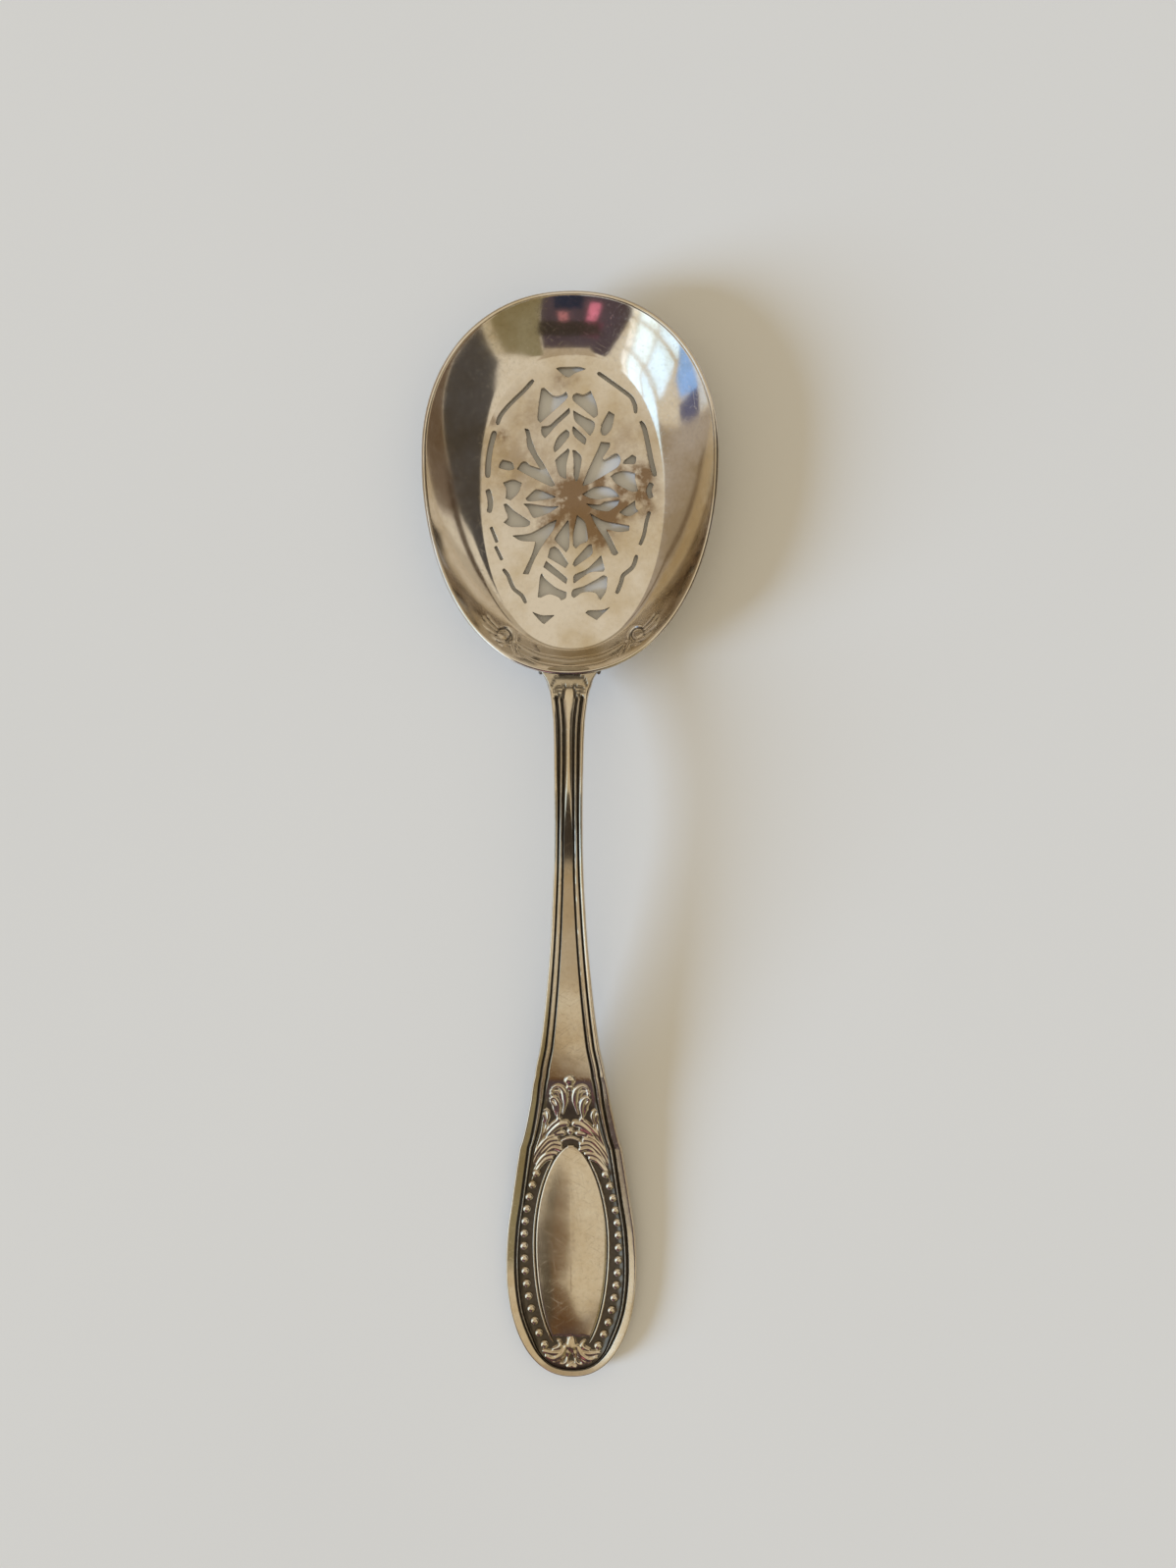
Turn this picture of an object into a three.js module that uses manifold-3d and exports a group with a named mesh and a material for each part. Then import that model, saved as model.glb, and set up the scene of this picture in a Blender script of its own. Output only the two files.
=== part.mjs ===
// A silver sifter spoon: an egg-shaped bowl of sheet silver with a sawn floor,
// a die-struck handle with reeded edges, leaves, beads and a plain cartouche,
// and the hard-solder seam that joins the two under the bowl's rim.
//
// Millimetres, +Z up. The spoon lies on its back as it is put down: the origin is the
// middle of the bowl's flat underside, +Y runs to the bowl's tip and -Y to the handle's end.

import * as THREE from 'three';
import { mergeVertices } from 'three/addons/utils/BufferGeometryUtils.js';
import Module from 'manifold-3d';

const wasm = await Module();
wasm.setup();

// Driving dimensions: the bowl
const bowlWidth = 52.3;
const bowlTip = 34.8; // origin to the tip of the rim
const bowlHeel = 31.9; // origin to the heel of the rim
const bowlWidest = 6.9; // how far in front of the origin the rim is widest
const rimHeight = 8.5;
const sheet = 1.1; // thickness of the sheet silver
const floorWidth = 31.6;
const floorLength = 52.4;
const wallCurve = 1.5; // 1 is a straight cone, more turns the wall up later
const eggPower = 2.15; // 2 is an ellipse, more is fuller at the corners

// Driving dimensions: the handle, from the bowl's heel to its end
const stemLength = 70.5;
const crestLength = 13.3;
const cartoucheLength = 34.8;
const palmetteLength = 7.1;
const flangeWidth = 10;
const neckWidth = 4.9;
const terminalWidth = 23.6;
const endPower = 2.25; // fullness of the rounded end
const archHeight = 11; // top of the stem where it arches highest
const archPlace = 0.39; // how far along the stem that is
const rimLip = 1.1; // how far the rim stands above the handle's flange
const flangeDepth = 4.6; // the flange's thickness where it meets the bowl's wall
const neckThickness = 3.2;
const endThickness = 2.4;

// Driving dimensions: what is struck into the handle's face
const edgeBevel = 0.35;
const grooveDepth = 0.4;
const fieldDepth = 0.55;
const bandWidth = 1.57; // plain outer band beside the cartouche
const neckBandWidth = 0.75;
const grooveWidth = 0.4;
const neckGrooveWidth = 0.25;
const stemReedWidth = 0.9;
const endReedWidth = 0.25;
const beadChannel = 2.5;
const beadRadius = 0.75;
const beadPitch = 2.27;
const frameWidth = 0.75;
const ovalMiddle = 0.52; // share of the cartouche's length above its widest place
const ovalUpper = 0.535; // reach of the oval up and down from there, as shares of that length
const ovalLower = 0.57;
const ovalEnd = 0.8; // half width at which the oval is cut square
const beadsFrom = 2.15;
const beadsTo = 3.18;
const cartoucheRise = 0.45;
const leafRise = 0.75;

// Driving dimensions: the joint
const fitGap = 0.3; // clearance kept between neighbouring solids
const seamThickness = 0.4;
const seamDrop = 2.2; // how far under the rim the solder starts

// How finely round shapes are divided
const outlineSteps = 60;
const wallSteps = 7;
const stemSteps = 34;
const fanSteps = 12;

const silver = new THREE.MeshStandardMaterial({ color: 0xc9bda6, roughness: 0.22, metalness: 1 });
const struckSilver = new THREE.MeshStandardMaterial({ color: 0xb8a98c, roughness: 0.3, metalness: 1 });
const solder = new THREE.MeshStandardMaterial({ color: 0x8d887c, roughness: 0.45, metalness: 1 });

// The sawn pattern of the floor. Each opening is an outline in millimetres from the middle
// of the floor, x to the right and y to the tip. It was sawn by hand, so the left and the
// right half differ a little.
const topFan = [[-2.8, 24], [-2, 24.2], [1.2, 24.2], [2.6, 23.8], [0.6, 23.1], [-0.5, 22.4], [-1.5, 22.8]];

const leftOpenings = [
  // swallowtail and two chevrons towards the tip
  [[-5.4, 20.5], [-4.9, 20.5], [-3.6, 19.3], [-2.7, 19], [-1.6, 19.3], [-1, 19.8], [-0.7, 18.9],
    [-1.5, 17.9], [-3.8, 15.9], [-5.6, 14.3], [-6.1, 14.8], [-5.9, 17.4]],
  [[-5.4, 13.6], [-4, 13.8], [-2.7, 14.9], [-0.4, 16.9], [-0.4, 15.9], [-2.7, 13.8], [-4.8, 11.5], [-5.4, 12.3]],
  [[-1, 13], [-1.9, 12.3], [-2.7, 11.3], [-3.2, 9.9], [-3.1, 8.9], [-2.2, 9.6], [-0.5, 11.7], [-0.5, 12.6]],
  // petal and branched spear
  [[-0.6, 9.6], [-2.8, 7.7], [-2.7, 6.5], [-2.2, 4.8], [-1, 4.1], [-1, 6.3], [-0.8, 7.5], [-0.4, 9.1]],
  [[-8.5, 13.3], [-7.7, 13], [-7.3, 11.4], [-6.3, 8.8], [-5.1, 6.9], [-3, 3], [-3.8, 2.8], [-7.4, 4.6],
    [-9.9, 6], [-9, 7.2], [-8.3, 7.3], [-7.4, 6.6], [-5.7, 6], [-7.9, 9.8], [-8.1, 11.8]],
  // fan, side openings and the pair of eyes
  [[-12.5, 7.7], [-10.8, 7.2], [-10.4, 6], [-11.4, 5.8], [-13.1, 6.2], [-13, 7]],
  [[-12.4, 3.6], [-10.6, 4.1], [-9, 3.5], [-9.7, 1.7], [-11, 0.4], [-11.9, 0.7], [-11.8, 2.3]],
  [[-12.3, -0.3], [-11.7, -0.3], [-10.3, -1.6], [-7.6, -3.4], [-7.6, -4.1], [-8.3, -4.4], [-10.8, -4.4],
    [-12.3, -3.6], [-11.5, -2.6], [-11.9, -1.6]],
  [[-8.3, 0.7], [-6.7, 2.2], [-5.8, 2.2], [-2.8, 0.9], [-3.8, 0.6], [-6.6, 0.2], [-7.9, 0.2]],
  [[-8.7, -0.3], [-7.4, -0.3], [-4.3, -0.8], [-2.3, -0.8], [-4, -1.9], [-6.1, -2.7], [-7, -2.7], [-7.9, -1.1]],
  // branched spear and petal towards the heel
  [[-10.7, -6], [-7.5, -5.6], [-4.3, -3.9], [-2.7, -3.2], [-3.4, -5.1], [-5.1, -7.5], [-6.7, -10.3],
    [-7.8, -13], [-8.8, -12.9], [-7.2, -9.5], [-6.5, -7.1], [-9.2, -6.9]],
  [[-0.7, -3.3], [-2.8, -6.1], [-3, -6.9], [-1, -9.1], [-0.5, -8.2], [-0.4, -6.8], [-0.5, -3.8]],
  // two chevrons and a swallowtail towards the heel
  [[-3.9, -8.4], [-3.1, -8], [-2.3, -8.6], [-0.6, -11.1], [-1.1, -11.9], [-4.3, -10]],
  [[-4.6, -10.6], [-0.9, -13.7], [-1, -14.8], [-2.7, -13.5], [-5.1, -11.7]],
  [[-5.4, -12.8], [-4.9, -13.7], [-2.9, -15.4], [-0.9, -16.3], [-1.1, -17.3], [-1.9, -17.7], [-2.3, -17.2],
    [-4, -16.6], [-5.6, -17.2], [-6.1, -17.1], [-5.7, -13.5]],
  [[-7.1, -19.8], [-5.4, -20.4], [-3.1, -20.4], [-5, -22], [-5.8, -21.3]],
];

const rightOpenings = [
  [[0.3, 19.2], [0.9, 19.5], [2, 19.2], [2.8, 19.5], [3.4, 19.9], [4.4, 17.6], [4.7, 15.6], [4, 15],
    [2, 16.7], [0.3, 18.2]],
  [[0.3, 16.4], [2.4, 15.2], [4, 14.3], [4, 12.9], [3.3, 11.8], [2, 13.2], [0.6, 14.6]],
  [[0.3, 13.6], [1.5, 12.5], [2.6, 11.3], [2.4, 10.2], [1.2, 11.1], [0.3, 12.2]],
  [[0.2, 9.3], [0.8, 9.1], [1.7, 8.1], [1.7, 6.8], [1.2, 4.2], [0.8, 3.6], [0.5, 4.5], [0.5, 6.8]],
  // here the spear is sawn as a slot and a fork
  [[6.7, 16.2], [7.7, 15.6], [7.2, 13.1], [6.2, 11.9], [5.5, 11.9], [5.3, 12.5], [5.6, 14.2]],
  [[5.3, 10.7], [6.9, 10.5], [6.8, 9.7], [5.5, 7.7], [5.9, 7.4], [7.7, 8.5], [8.4, 8.4], [8.8, 7.3],
    [8.1, 6], [3.6, 3.4], [2.1, 2.8], [2.1, 3.4], [3.1, 5.9], [4.7, 9.3]],
  [[9.5, 7.3], [10.9, 8.3], [11.6, 7.9], [11.5, 6.9], [11.1, 6.6], [9.3, 6.7]],
  [[7, 4.5], [7.9, 5.1], [9.6, 5.4], [11.4, 5], [11.4, 3.9], [11.9, 1.8], [10.8, 1.7], [8.1, 3.1]],
  [[8.6, -2], [9.6, -1.2], [11.4, 0.1], [11.5, -1.2], [12, -1.8], [10.7, -2.6], [9.6, -2.6]],
  [[1.9, 1.3], [3.9, 2.5], [5.4, 2.7], [6.7, 2.5], [7.7, 1.9], [8.6, 0.8], [6.1, 0.6], [5, 0.4], [3.4, 0.6]],
  [[2.6, -0.4], [5, -0.6], [5.9, -0.1], [8.6, 0.2], [8.2, -0.7], [6.8, -1.7], [5.6, -1.7], [3.9, -1.3]],
  [[3.3, -2.1], [5.9, -3.5], [10.4, -4.4], [10.3, -5.3], [8.6, -5.5], [6.2, -5], [7.9, -8.4], [8.4, -9.3],
    [7.9, -9.7], [7.3, -9.5], [6.2, -7.1], [4.7, -4.8]],
  [[1, -2.4], [2.4, -3.8], [2.9, -6.5], [2.7, -7.2], [1.5, -7.7], [0.8, -8.4], [0.4, -8], [0.3, -5.8]],
  [[3, -7.8], [3.6, -7.7], [3.6, -9.5], [0.6, -11.7], [0.2, -11.3], [0.7, -10.3]],
  [[5.3, -9.7], [5.9, -12.1], [5.6, -12.6], [3.9, -12.6], [2.8, -13], [0.4, -14.7], [0.5, -13.2], [2.8, -12.1]],
  [[5.7, -13.3], [6.4, -13.6], [6.2, -16], [5.2, -17.7], [4.2, -16.4], [2.1, -16.3], [0.4, -17.3],
    [0, -16.8], [0.3, -15.8], [2.2, -15.2], [4.5, -14]],
  [[2.5, -20], [3, -19.6], [5.6, -19.5], [6.9, -19], [4.5, -21.3], [3, -20.4]],
];

// Slots of the border: the line that the saw followed, with the slot's width
const borderSlots = [
  { width: 0.75, line: [[-6.9, 22], [-8.5, 20.2], [-10.2, 18.6], [-11.8, 17], [-13, 15.4], [-13.4, 14]] },
  { width: 0.95, line: [[-13.9, 12.9], [-14.6, 10.3], [-15, 7.9], [-15.1, 6.3], [-15.2, 4.5]] },
  { width: 0.9, line: [[-15.2, 2.4], [-14.8, 0.8], [-14.7, -0.5], [-15, -1.8]] },
  { width: 0.55, line: [[-14.6, -4.4], [-13.5, -7.2]] },
  { width: 0.55, line: [[-13.8, -7.9], [-12.6, -10.4]] },
  { width: 0.65, line: [[-12.4, -12], [-11.5, -13.2], [-10.5, -15.5], [-9, -16.8], [-8.3, -18.2]] },
  { width: 0.7, line: [[4.7, 23.1], [7.9, 20.8], [10.6, 18.7], [11.4, 17.1], [11.5, 15.7]] },
  { width: 0.8, line: [[12.4, 14.3], [13.1, 12.9], [13.9, 9.3], [14.4, 6.8], [15, 4.4]] },
  { width: 0.9, line: [[14.4, 3.2], [13.9, 1.9], [14.3, 0.5]] },
  { width: 0.6, line: [[14, -1.9], [13.5, -3.6], [13, -6.1], [12.3, -7.9]] },
  { width: 0.7, line: [[11.7, -9.7], [11, -11.8], [9.3, -13.3], [8.9, -14.6], [8.1, -16.6]] },
];

// Places along the handle are counted in stretches from the heel: 0 to 1 is the stem,
// 1 to 2 the leafy crest, 2 to 3 the cartouche and 3 to 4 the palmette at the end.
const stretches = [stemLength, crestLength, cartoucheLength, palmetteLength];
const seatPlace = -0.09; // the blank starts inside the bowl's wall and is cut to it
const stationSpread = 1.15; // 1 is even, more sets the first sections closer
const widestPlace = 2.61;
const flatPlace = 2.35; // from here on the handle lies almost flat
const fanPlace = 2.87; // from here on the face fans out round one point of the middle line

// Shape of the handle between its named sizes: [place, share] pairs
const flare = [[0, 1], [0.02, 0.56], [0.045, 0.33], [0.08, 0.2], [0.12, 0.1], [0.2, 0.03], [0.33, 0]];
const swell = [[0.33, 0], [0.45, 0.008], [0.6, 0.058], [0.76, 0.152], [0.92, 0.292], [1, 0.404], [1.4, 0.509],
  [1.9, 0.666], [2.12, 0.787], [2.29, 0.883], [2.45, 0.968], [widestPlace, 1]];
const rise = [[0, 0], [0.1, 0.38], [0.2, 0.7], [0.3, 0.93], [archPlace, 1]];
const fall = [[archPlace, 1], [0.5, 0.975], [0.6, 0.9], [0.72, 0.79], [0.86, 0.63], [1, 0.46], [1.5, 0.33],
  [2, 0.21], [flatPlace, 0.08], [2.7, 0.015], [4, 0]];
const heelBelly = [[-0.1, 1], [0.02, 0.85], [0.08, 0.3], [0.16, 0]];
const borderChange = [[0.6, 0], [1, 0.35], [2, 0.9], [2.3, 1]];
const reedChange = [[0.1, 0.25], [0.5, 0.3], [0.8, 0.9], [1, 1], [1.5, 0.9], [2, 0.2], [2.3, 0]];
const reliefStart = [[0.02, 0], [0.06, 1]];
const fieldDrop = [[1.03, 0], [1.08, 1]];

// Leaves, balls and curls of the handle. across is a share of the half width there, and
// along a place; the right half repeats the left.
const crestLobes = [
  { across: 0.29, along: 1.32, length: 5.6, width: 2.1, turn: 12 },
  { across: 0.41, along: 1.42, length: 3.4, width: 1.3, turn: 14 },
  { across: 0.57, along: 1.57, length: 2.9, width: 1.4, turn: 8 },
  { across: 0.2, along: 1.64, length: 1.9, width: 1.2, turn: 80 },
  { across: 0.36, along: 1.74, length: 5.2, width: 1, turn: 52 },
  { across: 0.16, along: 1.8, length: 1.1, width: 1, turn: 0 },
  { across: 0.56, along: 2.03, length: 7.6, width: 1.1, turn: 38 },
  { across: 0.43, along: 2.08, length: 7.8, width: 1.7, turn: 47 },
  { across: 0.5, along: 2.14, length: 4.6, width: 1, turn: 38 },
];
const palmetteLobes = [
  { across: 0.3, along: 3.12, length: 1.9, width: 1, turn: 60 },
  { across: 0.4, along: 3.3, length: 4, width: 1.15, turn: 72 },
  { across: 0.36, along: 3.48, length: 3, width: 1, turn: 48 },
];
const middleLobes = [
  { along: 1.05, length: 1.4, width: 1.4 },
  { along: 1.16, length: 0.9, width: 0.9 },
  { along: 1.79, length: 1.1, width: 1.1 },
  { along: 1.92, length: 0.8, width: 3.1 },
  { along: 3.25, length: 3.9, width: 1.4 },
  { along: 3.76, length: 1, width: 2 },
];
const headBar = { along: 0.035, length: 0.7, width: 5.4 };

// Curls struck into the wall on both sides of the heel
const wallCurls = [
  { turn: 23, height: 0.56, length: 4.6, width: 1, lean: 38 },
  { turn: 20, height: 0.68, length: 2.6, width: 1.3, lean: 30 },
];

/** A smooth curve through [place, value] pairs, level beyond both ends. */
function follow(keys, place) {
  const last = keys.length - 1;
  if (place <= keys[0][0]) return keys[0][1];
  if (place >= keys[last][0]) return keys[last][1];
  const i = keys.findIndex((key) => key[0] > place) - 1;
  const [from, to] = [keys[i], keys[i + 1]];
  const span = to[0] - from[0];
  const t = (place - from[0]) / span;
  const bend = t * t * (3 - 2 * t);
  const lead = keySlope(keys, i) * span * t * (1 - t) ** 2;
  const trail = keySlope(keys, i + 1) * span * t * t * (1 - t);
  return from[1] + (to[1] - from[1]) * bend + lead - trail;
}

/** Slope of the curve at one key; level at the ends and where the values turn back. */
function keySlope(keys, i) {
  if (i === 0 || i === keys.length - 1) return 0;
  const before = (keys[i][1] - keys[i - 1][1]) / (keys[i][0] - keys[i - 1][0]);
  const after = (keys[i + 1][1] - keys[i][1]) / (keys[i + 1][0] - keys[i][0]);
  return before * after <= 0 ? 0 : (2 * before * after) / (before + after);
}

const mix = THREE.MathUtils.lerp;
const radians = THREE.MathUtils.degToRad;

/** A closed solid of manifold-3d from a three.js geometry, with coinciding corners merged. */
function toSolid(geometry) {
  const bare = geometry.clone();
  bare.deleteAttribute('normal');
  bare.deleteAttribute('uv');
  const merged = mergeVertices(bare, 1e-4);
  const corners = Array.from(merged.index.array);
  const triVerts = [];
  for (let i = 0; i < corners.length; i += 3) {
    const [a, b, c] = corners.slice(i, i + 3);
    if (a !== b && b !== c && c !== a) triVerts.push(a, b, c);
  }
  const vertProperties = new Float32Array(merged.attributes.position.array);
  return new wasm.Manifold(new wasm.Mesh({ numProp: 3, vertProperties, triVerts: new Uint32Array(triVerts) }));
}

/** The three.js geometry of a manifold-3d solid. */
function toGeometry(solid) {
  const mesh = solid.getMesh();
  const geometry = new THREE.BufferGeometry();
  geometry.setAttribute('position', new THREE.BufferAttribute(new Float32Array(mesh.vertProperties), 3));
  geometry.setIndex(new THREE.BufferAttribute(new Uint32Array(mesh.triVerts), 1));
  geometry.computeVertexNormals();
  return geometry;
}

/** The solid of all the given solids together. */
function joined(solids) {
  return solids.reduce((whole, solid) => whole.add(solid));
}

/** Corners of the triangles that close a loop, fanned out from its first point. */
function fanCap(size) {
  return Array.from({ length: size - 2 }, (_, i) => [0, i + 1, i + 2]);
}

/** The same for a loop whose second half mirrors its first: straight across from side to side. */
function crossCap(size) {
  const last = size - 1;
  return Array.from({ length: size / 2 - 1 }, (_, i) => [[i, i + 1, last - i - 1], [i, last - i - 1, last - i]]).flat();
}

/** A skin over closed loops of equally many points, with the first and last loop capped. */
function loftGeometry(loops, cap = fanCap) {
  const size = loops[0].length;
  const points = loops.flat();
  const index = [];
  for (let row = 0; row + 1 < loops.length; row += 1) {
    for (let i = 0; i < size; i += 1) {
      const [a, b] = [row * size + i, row * size + ((i + 1) % size)];
      index.push(a, b, b + size, a, b + size, a + size);
    }
  }
  const lastLoop = (loops.length - 1) * size;
  for (const [a, b, c] of cap(size)) {
    index.push(a, c, b, lastLoop + a, lastLoop + b, lastLoop + c);
  }
  const geometry = new THREE.BufferGeometry().setFromPoints(points);
  geometry.setIndex(index);
  return geometry;
}

// The bowl

/** One level outline of the bowl: blend 0 is the floor's edge and 1 the rim; out grows it. */
function bowlLoop(blend, out, z) {
  const halfWidth = mix(floorWidth, bowlWidth, blend) / 2 + out;
  const middle = bowlWidest * blend;
  const tip = mix(floorLength / 2, bowlTip, blend) - middle + out;
  const heel = mix(floorLength / 2, bowlHeel, blend) + middle + out;
  return Array.from({ length: outlineSteps }, (_, i) => {
    const angle = (2 * Math.PI * i) / outlineSteps;
    const [cos, sin] = [Math.cos(angle), Math.sin(angle)];
    const x = Math.sign(cos) * halfWidth * Math.abs(cos) ** (2 / eggPower);
    const y = Math.sign(sin) * (sin > 0 ? tip : heel) * Math.abs(sin) ** (2 / eggPower);
    return new THREE.Vector3(x, middle + y, z);
  });
}

/** The wall's outside at one blend, moved outwards by a distance along its slope. */
function wallLoop(blend, distance) {
  const run = (bowlWidth - floorWidth) / 2;
  const slope = (rimHeight * wallCurve * blend ** (wallCurve - 1)) / run;
  const steep = Math.atan(slope);
  const z = rimHeight * blend ** wallCurve - distance * Math.cos(steep);
  return bowlLoop(blend, distance * Math.sin(steep), Math.min(z, rimHeight));
}

/** The wall's loops from the floor to the rim. */
function wallLoops(distance) {
  return Array.from({ length: wallSteps + 1 }, (_, i) => wallLoop(i / wallSteps, distance));
}

/** The bowl's outer shape as one filled body, grown by a distance. */
function filledBowl(distance) {
  const loops = wallLoops(distance);
  return toSolid(loftGeometry([...loops, bowlLoop(1, distance, rimHeight + 2 * sheet)]));
}

/** An outline round a line, as wide as a saw slot. */
function slotOutline({ line, width }) {
  const points = line.map(([x, y]) => new THREE.Vector2(x, y));
  const sides = points.map((point, i) => {
    const ahead = points[Math.min(i + 1, points.length - 1)];
    const behind = points[Math.max(i - 1, 0)];
    const along = ahead.clone().sub(behind).normalize();
    const narrow = i === 0 || i === points.length - 1 ? 0.6 : 1;
    return new THREE.Vector2(-along.y, along.x).multiplyScalar((width / 2) * narrow);
  });
  const left = points.map((point, i) => point.clone().add(sides[i]));
  const right = points.map((point, i) => point.clone().sub(sides[i]));
  return [...left, ...right.reverse()];
}

/** Everything that the saw took out of the floor. */
function sawnOpenings() {
  const outlines = [topFan, ...leftOpenings, ...rightOpenings]
    .map((outline) => outline.map(([x, y]) => new THREE.Vector2(x, y)));
  const all = [...outlines, ...borderSlots.map(slotOutline)];
  return all.map((outline) => {
    const cutter = new THREE.ExtrudeGeometry(new THREE.Shape(outline), { depth: 4 * sheet, bevelEnabled: false });
    return toSolid(cutter.translate(0, 0, -sheet));
  });
}

/** One curl struck into the inside of the wall beside the heel. */
function wallCurl({ turn, height, length, width, lean }, side) {
  const loop = wallLoop(height, -sheet);
  const spot = loop[Math.round((outlineSteps * (270 + side * turn)) / 360)];
  const lobe = new THREE.SphereGeometry(1, 8, 6).scale(width / 2, length / 2, sheet / 2);
  lobe.rotateZ(radians(-side * lean)).rotateY(radians(-side * 35)).rotateX(radians(-30));
  return toSolid(lobe.translate(spot.x, spot.y, spot.z));
}

/** The bowl: a raised shell with its floor pierced. */
function bowlGeometry() {
  const inside = toSolid(loftGeometry([...wallLoops(-sheet), bowlLoop(1, -sheet, rimHeight + sheet)]));
  const outside = toSolid(loftGeometry(wallLoops(0)));
  const curls = wallCurls.flatMap((curl) => [wallCurl(curl, -1), wallCurl(curl, 1)]);
  const shell = joined([outside.subtract(inside), ...curls]);
  return toGeometry(sawnOpenings().reduce((left, cutter) => left.subtract(cutter), shell));
}

// The handle

/** The place's Y, down from the bowl's heel. */
function alongHandle(place) {
  if (place < 0) return -bowlHeel - place * stemLength;
  let y = -bowlHeel;
  stretches.forEach((length, i) => {
    y -= length * THREE.MathUtils.clamp(place - i, 0, 1);
  });
  return y;
}

/** The place of a Y: alongHandle the other way round. */
function placeOf(y) {
  let rest = -bowlHeel - y;
  if (rest < 0) return rest / stemLength;
  for (let i = 0; i < stretches.length; i += 1) {
    if (rest <= stretches[i]) return i + rest / stretches[i];
    rest -= stretches[i];
  }
  return stretches.length;
}

/** Half the handle's width at a place before the widest. */
function halfWidth(place) {
  const flared = (flangeWidth - neckWidth) * follow(flare, place);
  const swollen = (terminalWidth - neckWidth) * follow(swell, place);
  return (neckWidth + flared + swollen) / 2;
}

/** Height of the handle's upper side at a Y. */
function topHeight(y) {
  const place = placeOf(y);
  const joint = rimHeight - rimLip;
  if (place < archPlace) return mix(joint, archHeight, follow(rise, place));
  return mix(endThickness, archHeight, follow(fall, place));
}

/** Thickness of the handle at a Y. */
function thickness(y) {
  const place = placeOf(y);
  const plain = mix(neckThickness, endThickness, Math.min(place / flatPlace, 1));
  return mix(plain, flangeDepth, follow(heelBelly, place));
}

/** Right-hand edge of the handle as points from the flange to the end. */
function edgePoints() {
  const side = [];
    for (let i = 0; i < stemSteps; i += 1) {
    const share = i / stemSteps;
    const place = mix(seatPlace, widestPlace, share ** stationSpread);
    side.push(new THREE.Vector2(halfWidth(place), alongHandle(place)));
  }
  const widestY = alongHandle(widestPlace);
  const reach = widestY - alongHandle(stretches.length);
  for (let i = 0; i <= fanSteps; i += 1) {
    const angle = (Math.PI / 2) * (i / fanSteps);
    const x = (terminalWidth / 2) * Math.cos(angle) ** (2 / endPower);
    side.push(new THREE.Vector2(Math.max(x, 0), widestY - reach * Math.sin(angle) ** (2 / endPower)));
  }
  return side;
}

/** Widths of band, groove and reed at a place, as [distance from the edge, rise] pairs. */
function faceRows(place, reach) {
  const band = mix(neckBandWidth, bandWidth, follow(borderChange, place));
  const groove = mix(neckGrooveWidth, grooveWidth, follow(borderChange, place));
  const reed = mix(endReedWidth, stemReedWidth, follow(reedChange, place));
  const struck = follow(reliefStart, place);
  const sunk = fieldDepth * follow(fieldDrop, place);
  const reedIn = band + groove;
  const fieldIn = reedIn + reed + groove;
  return [
    [0, -edgeBevel],
    [edgeBevel, 0],
    [band, 0],
    [band + groove / 2, -grooveDepth * struck],
    [reedIn, -0.05],
    [reedIn + reed, -0.05],
    [reedIn + reed + groove / 2, -Math.max(grooveDepth * struck, sunk)],
    [fieldIn, -Math.max(sunk, 0.1)],
    [reach, -sunk],
  ];
}

/** Half a section of the handle: its face from edge to middle, then its back to the edge. */
function halfSection(edge, side) {
  const middle = new THREE.Vector2(0, Math.max(edge.y, alongHandle(fanPlace)));
  const reach = edge.distanceTo(middle);
  const point = (distance, up) => {
    const flat = edge.clone().lerp(middle, Math.min(distance / reach, 1));
    return new THREE.Vector3(side * flat.x, flat.y, topHeight(flat.y) + up);
  };
  const face = faceRows(placeOf(edge.y), reach).map(([distance, up]) => point(distance, up));
  const depth = thickness(edge.y);
  const back = [[0, -0.55 * depth], [0.12 * reach, -0.86 * depth], [0.45 * reach, -depth], [reach, -depth]];
  return { face, back: back.map(([distance, up]) => point(distance, up)) };
}

/** The handle before its ornament: flange, stem and terminal with their reeded border. */
function blankSolid() {
  const loops = edgePoints().map((edge) => {
    const left = halfSection(edge, -1);
    const right = halfSection(edge, 1);
    return [...right.face, ...left.face.reverse().slice(1), ...left.back, ...right.back.reverse().slice(1)];
  });
  return toSolid(loftGeometry(loops));
}

/** Moves a flat piece of ornament onto the curved face. */
function settled(geometry, up) {
  const position = geometry.attributes.position;
  for (let i = 0; i < position.count; i += 1) {
    position.setZ(i, position.getZ(i) + topHeight(position.getY(i)) + up);
  }
  return toSolid(geometry);
}

/** One leaf lobe or ball, mirrored to the given side. */
function lobeSolid({ across = 0, along, length, width, turn = 0 }, side) {
  const lobe = new THREE.SphereGeometry(1, 8, 6).rotateX(Math.PI / 2);
  lobe.scale(width / 2, length / 2, leafRise).rotateZ(radians(-side * turn));
  const place = Math.min(along, widestPlace);
  const x = side * across * halfWidth(place);
  return settled(lobe.translate(x, alongHandle(along), 0), -fieldDepth);
}

/** Half width of the cartouche and of lines round it, at a distance up from its middle. */
function ovalHalfWidth(y, out) {
  const half = terminalWidth / 2 - bandWidth - grooveWidth - endReedWidth - beadChannel - frameWidth + out;
  const middle = alongHandle(2) - ovalMiddle * cartoucheLength;
  const reach = (y > middle ? ovalUpper : ovalLower) * cartoucheLength + out;
  return half * Math.sqrt(Math.max(1 - ((y - middle) / reach) ** 2, 0));
}

/** The outline round the cartouche, cut straight towards the palmette. */
function ovalOutline(out) {
  const steps = 16;
  const [top, foot] = [alongHandle(2) + out, alongHandle(3) - out];
  const right = Array.from({ length: steps + 1 }, (_, i) => {
    const y = mix(top, foot, (1 - Math.cos((Math.PI * i) / steps)) / 2);
    return new THREE.Vector2(Math.max(ovalHalfWidth(y, out), ovalEnd), y);
  });
  const left = right.map((point) => new THREE.Vector2(-point.x, point.y));
  return [...right, ...left.reverse()];
}

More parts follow.
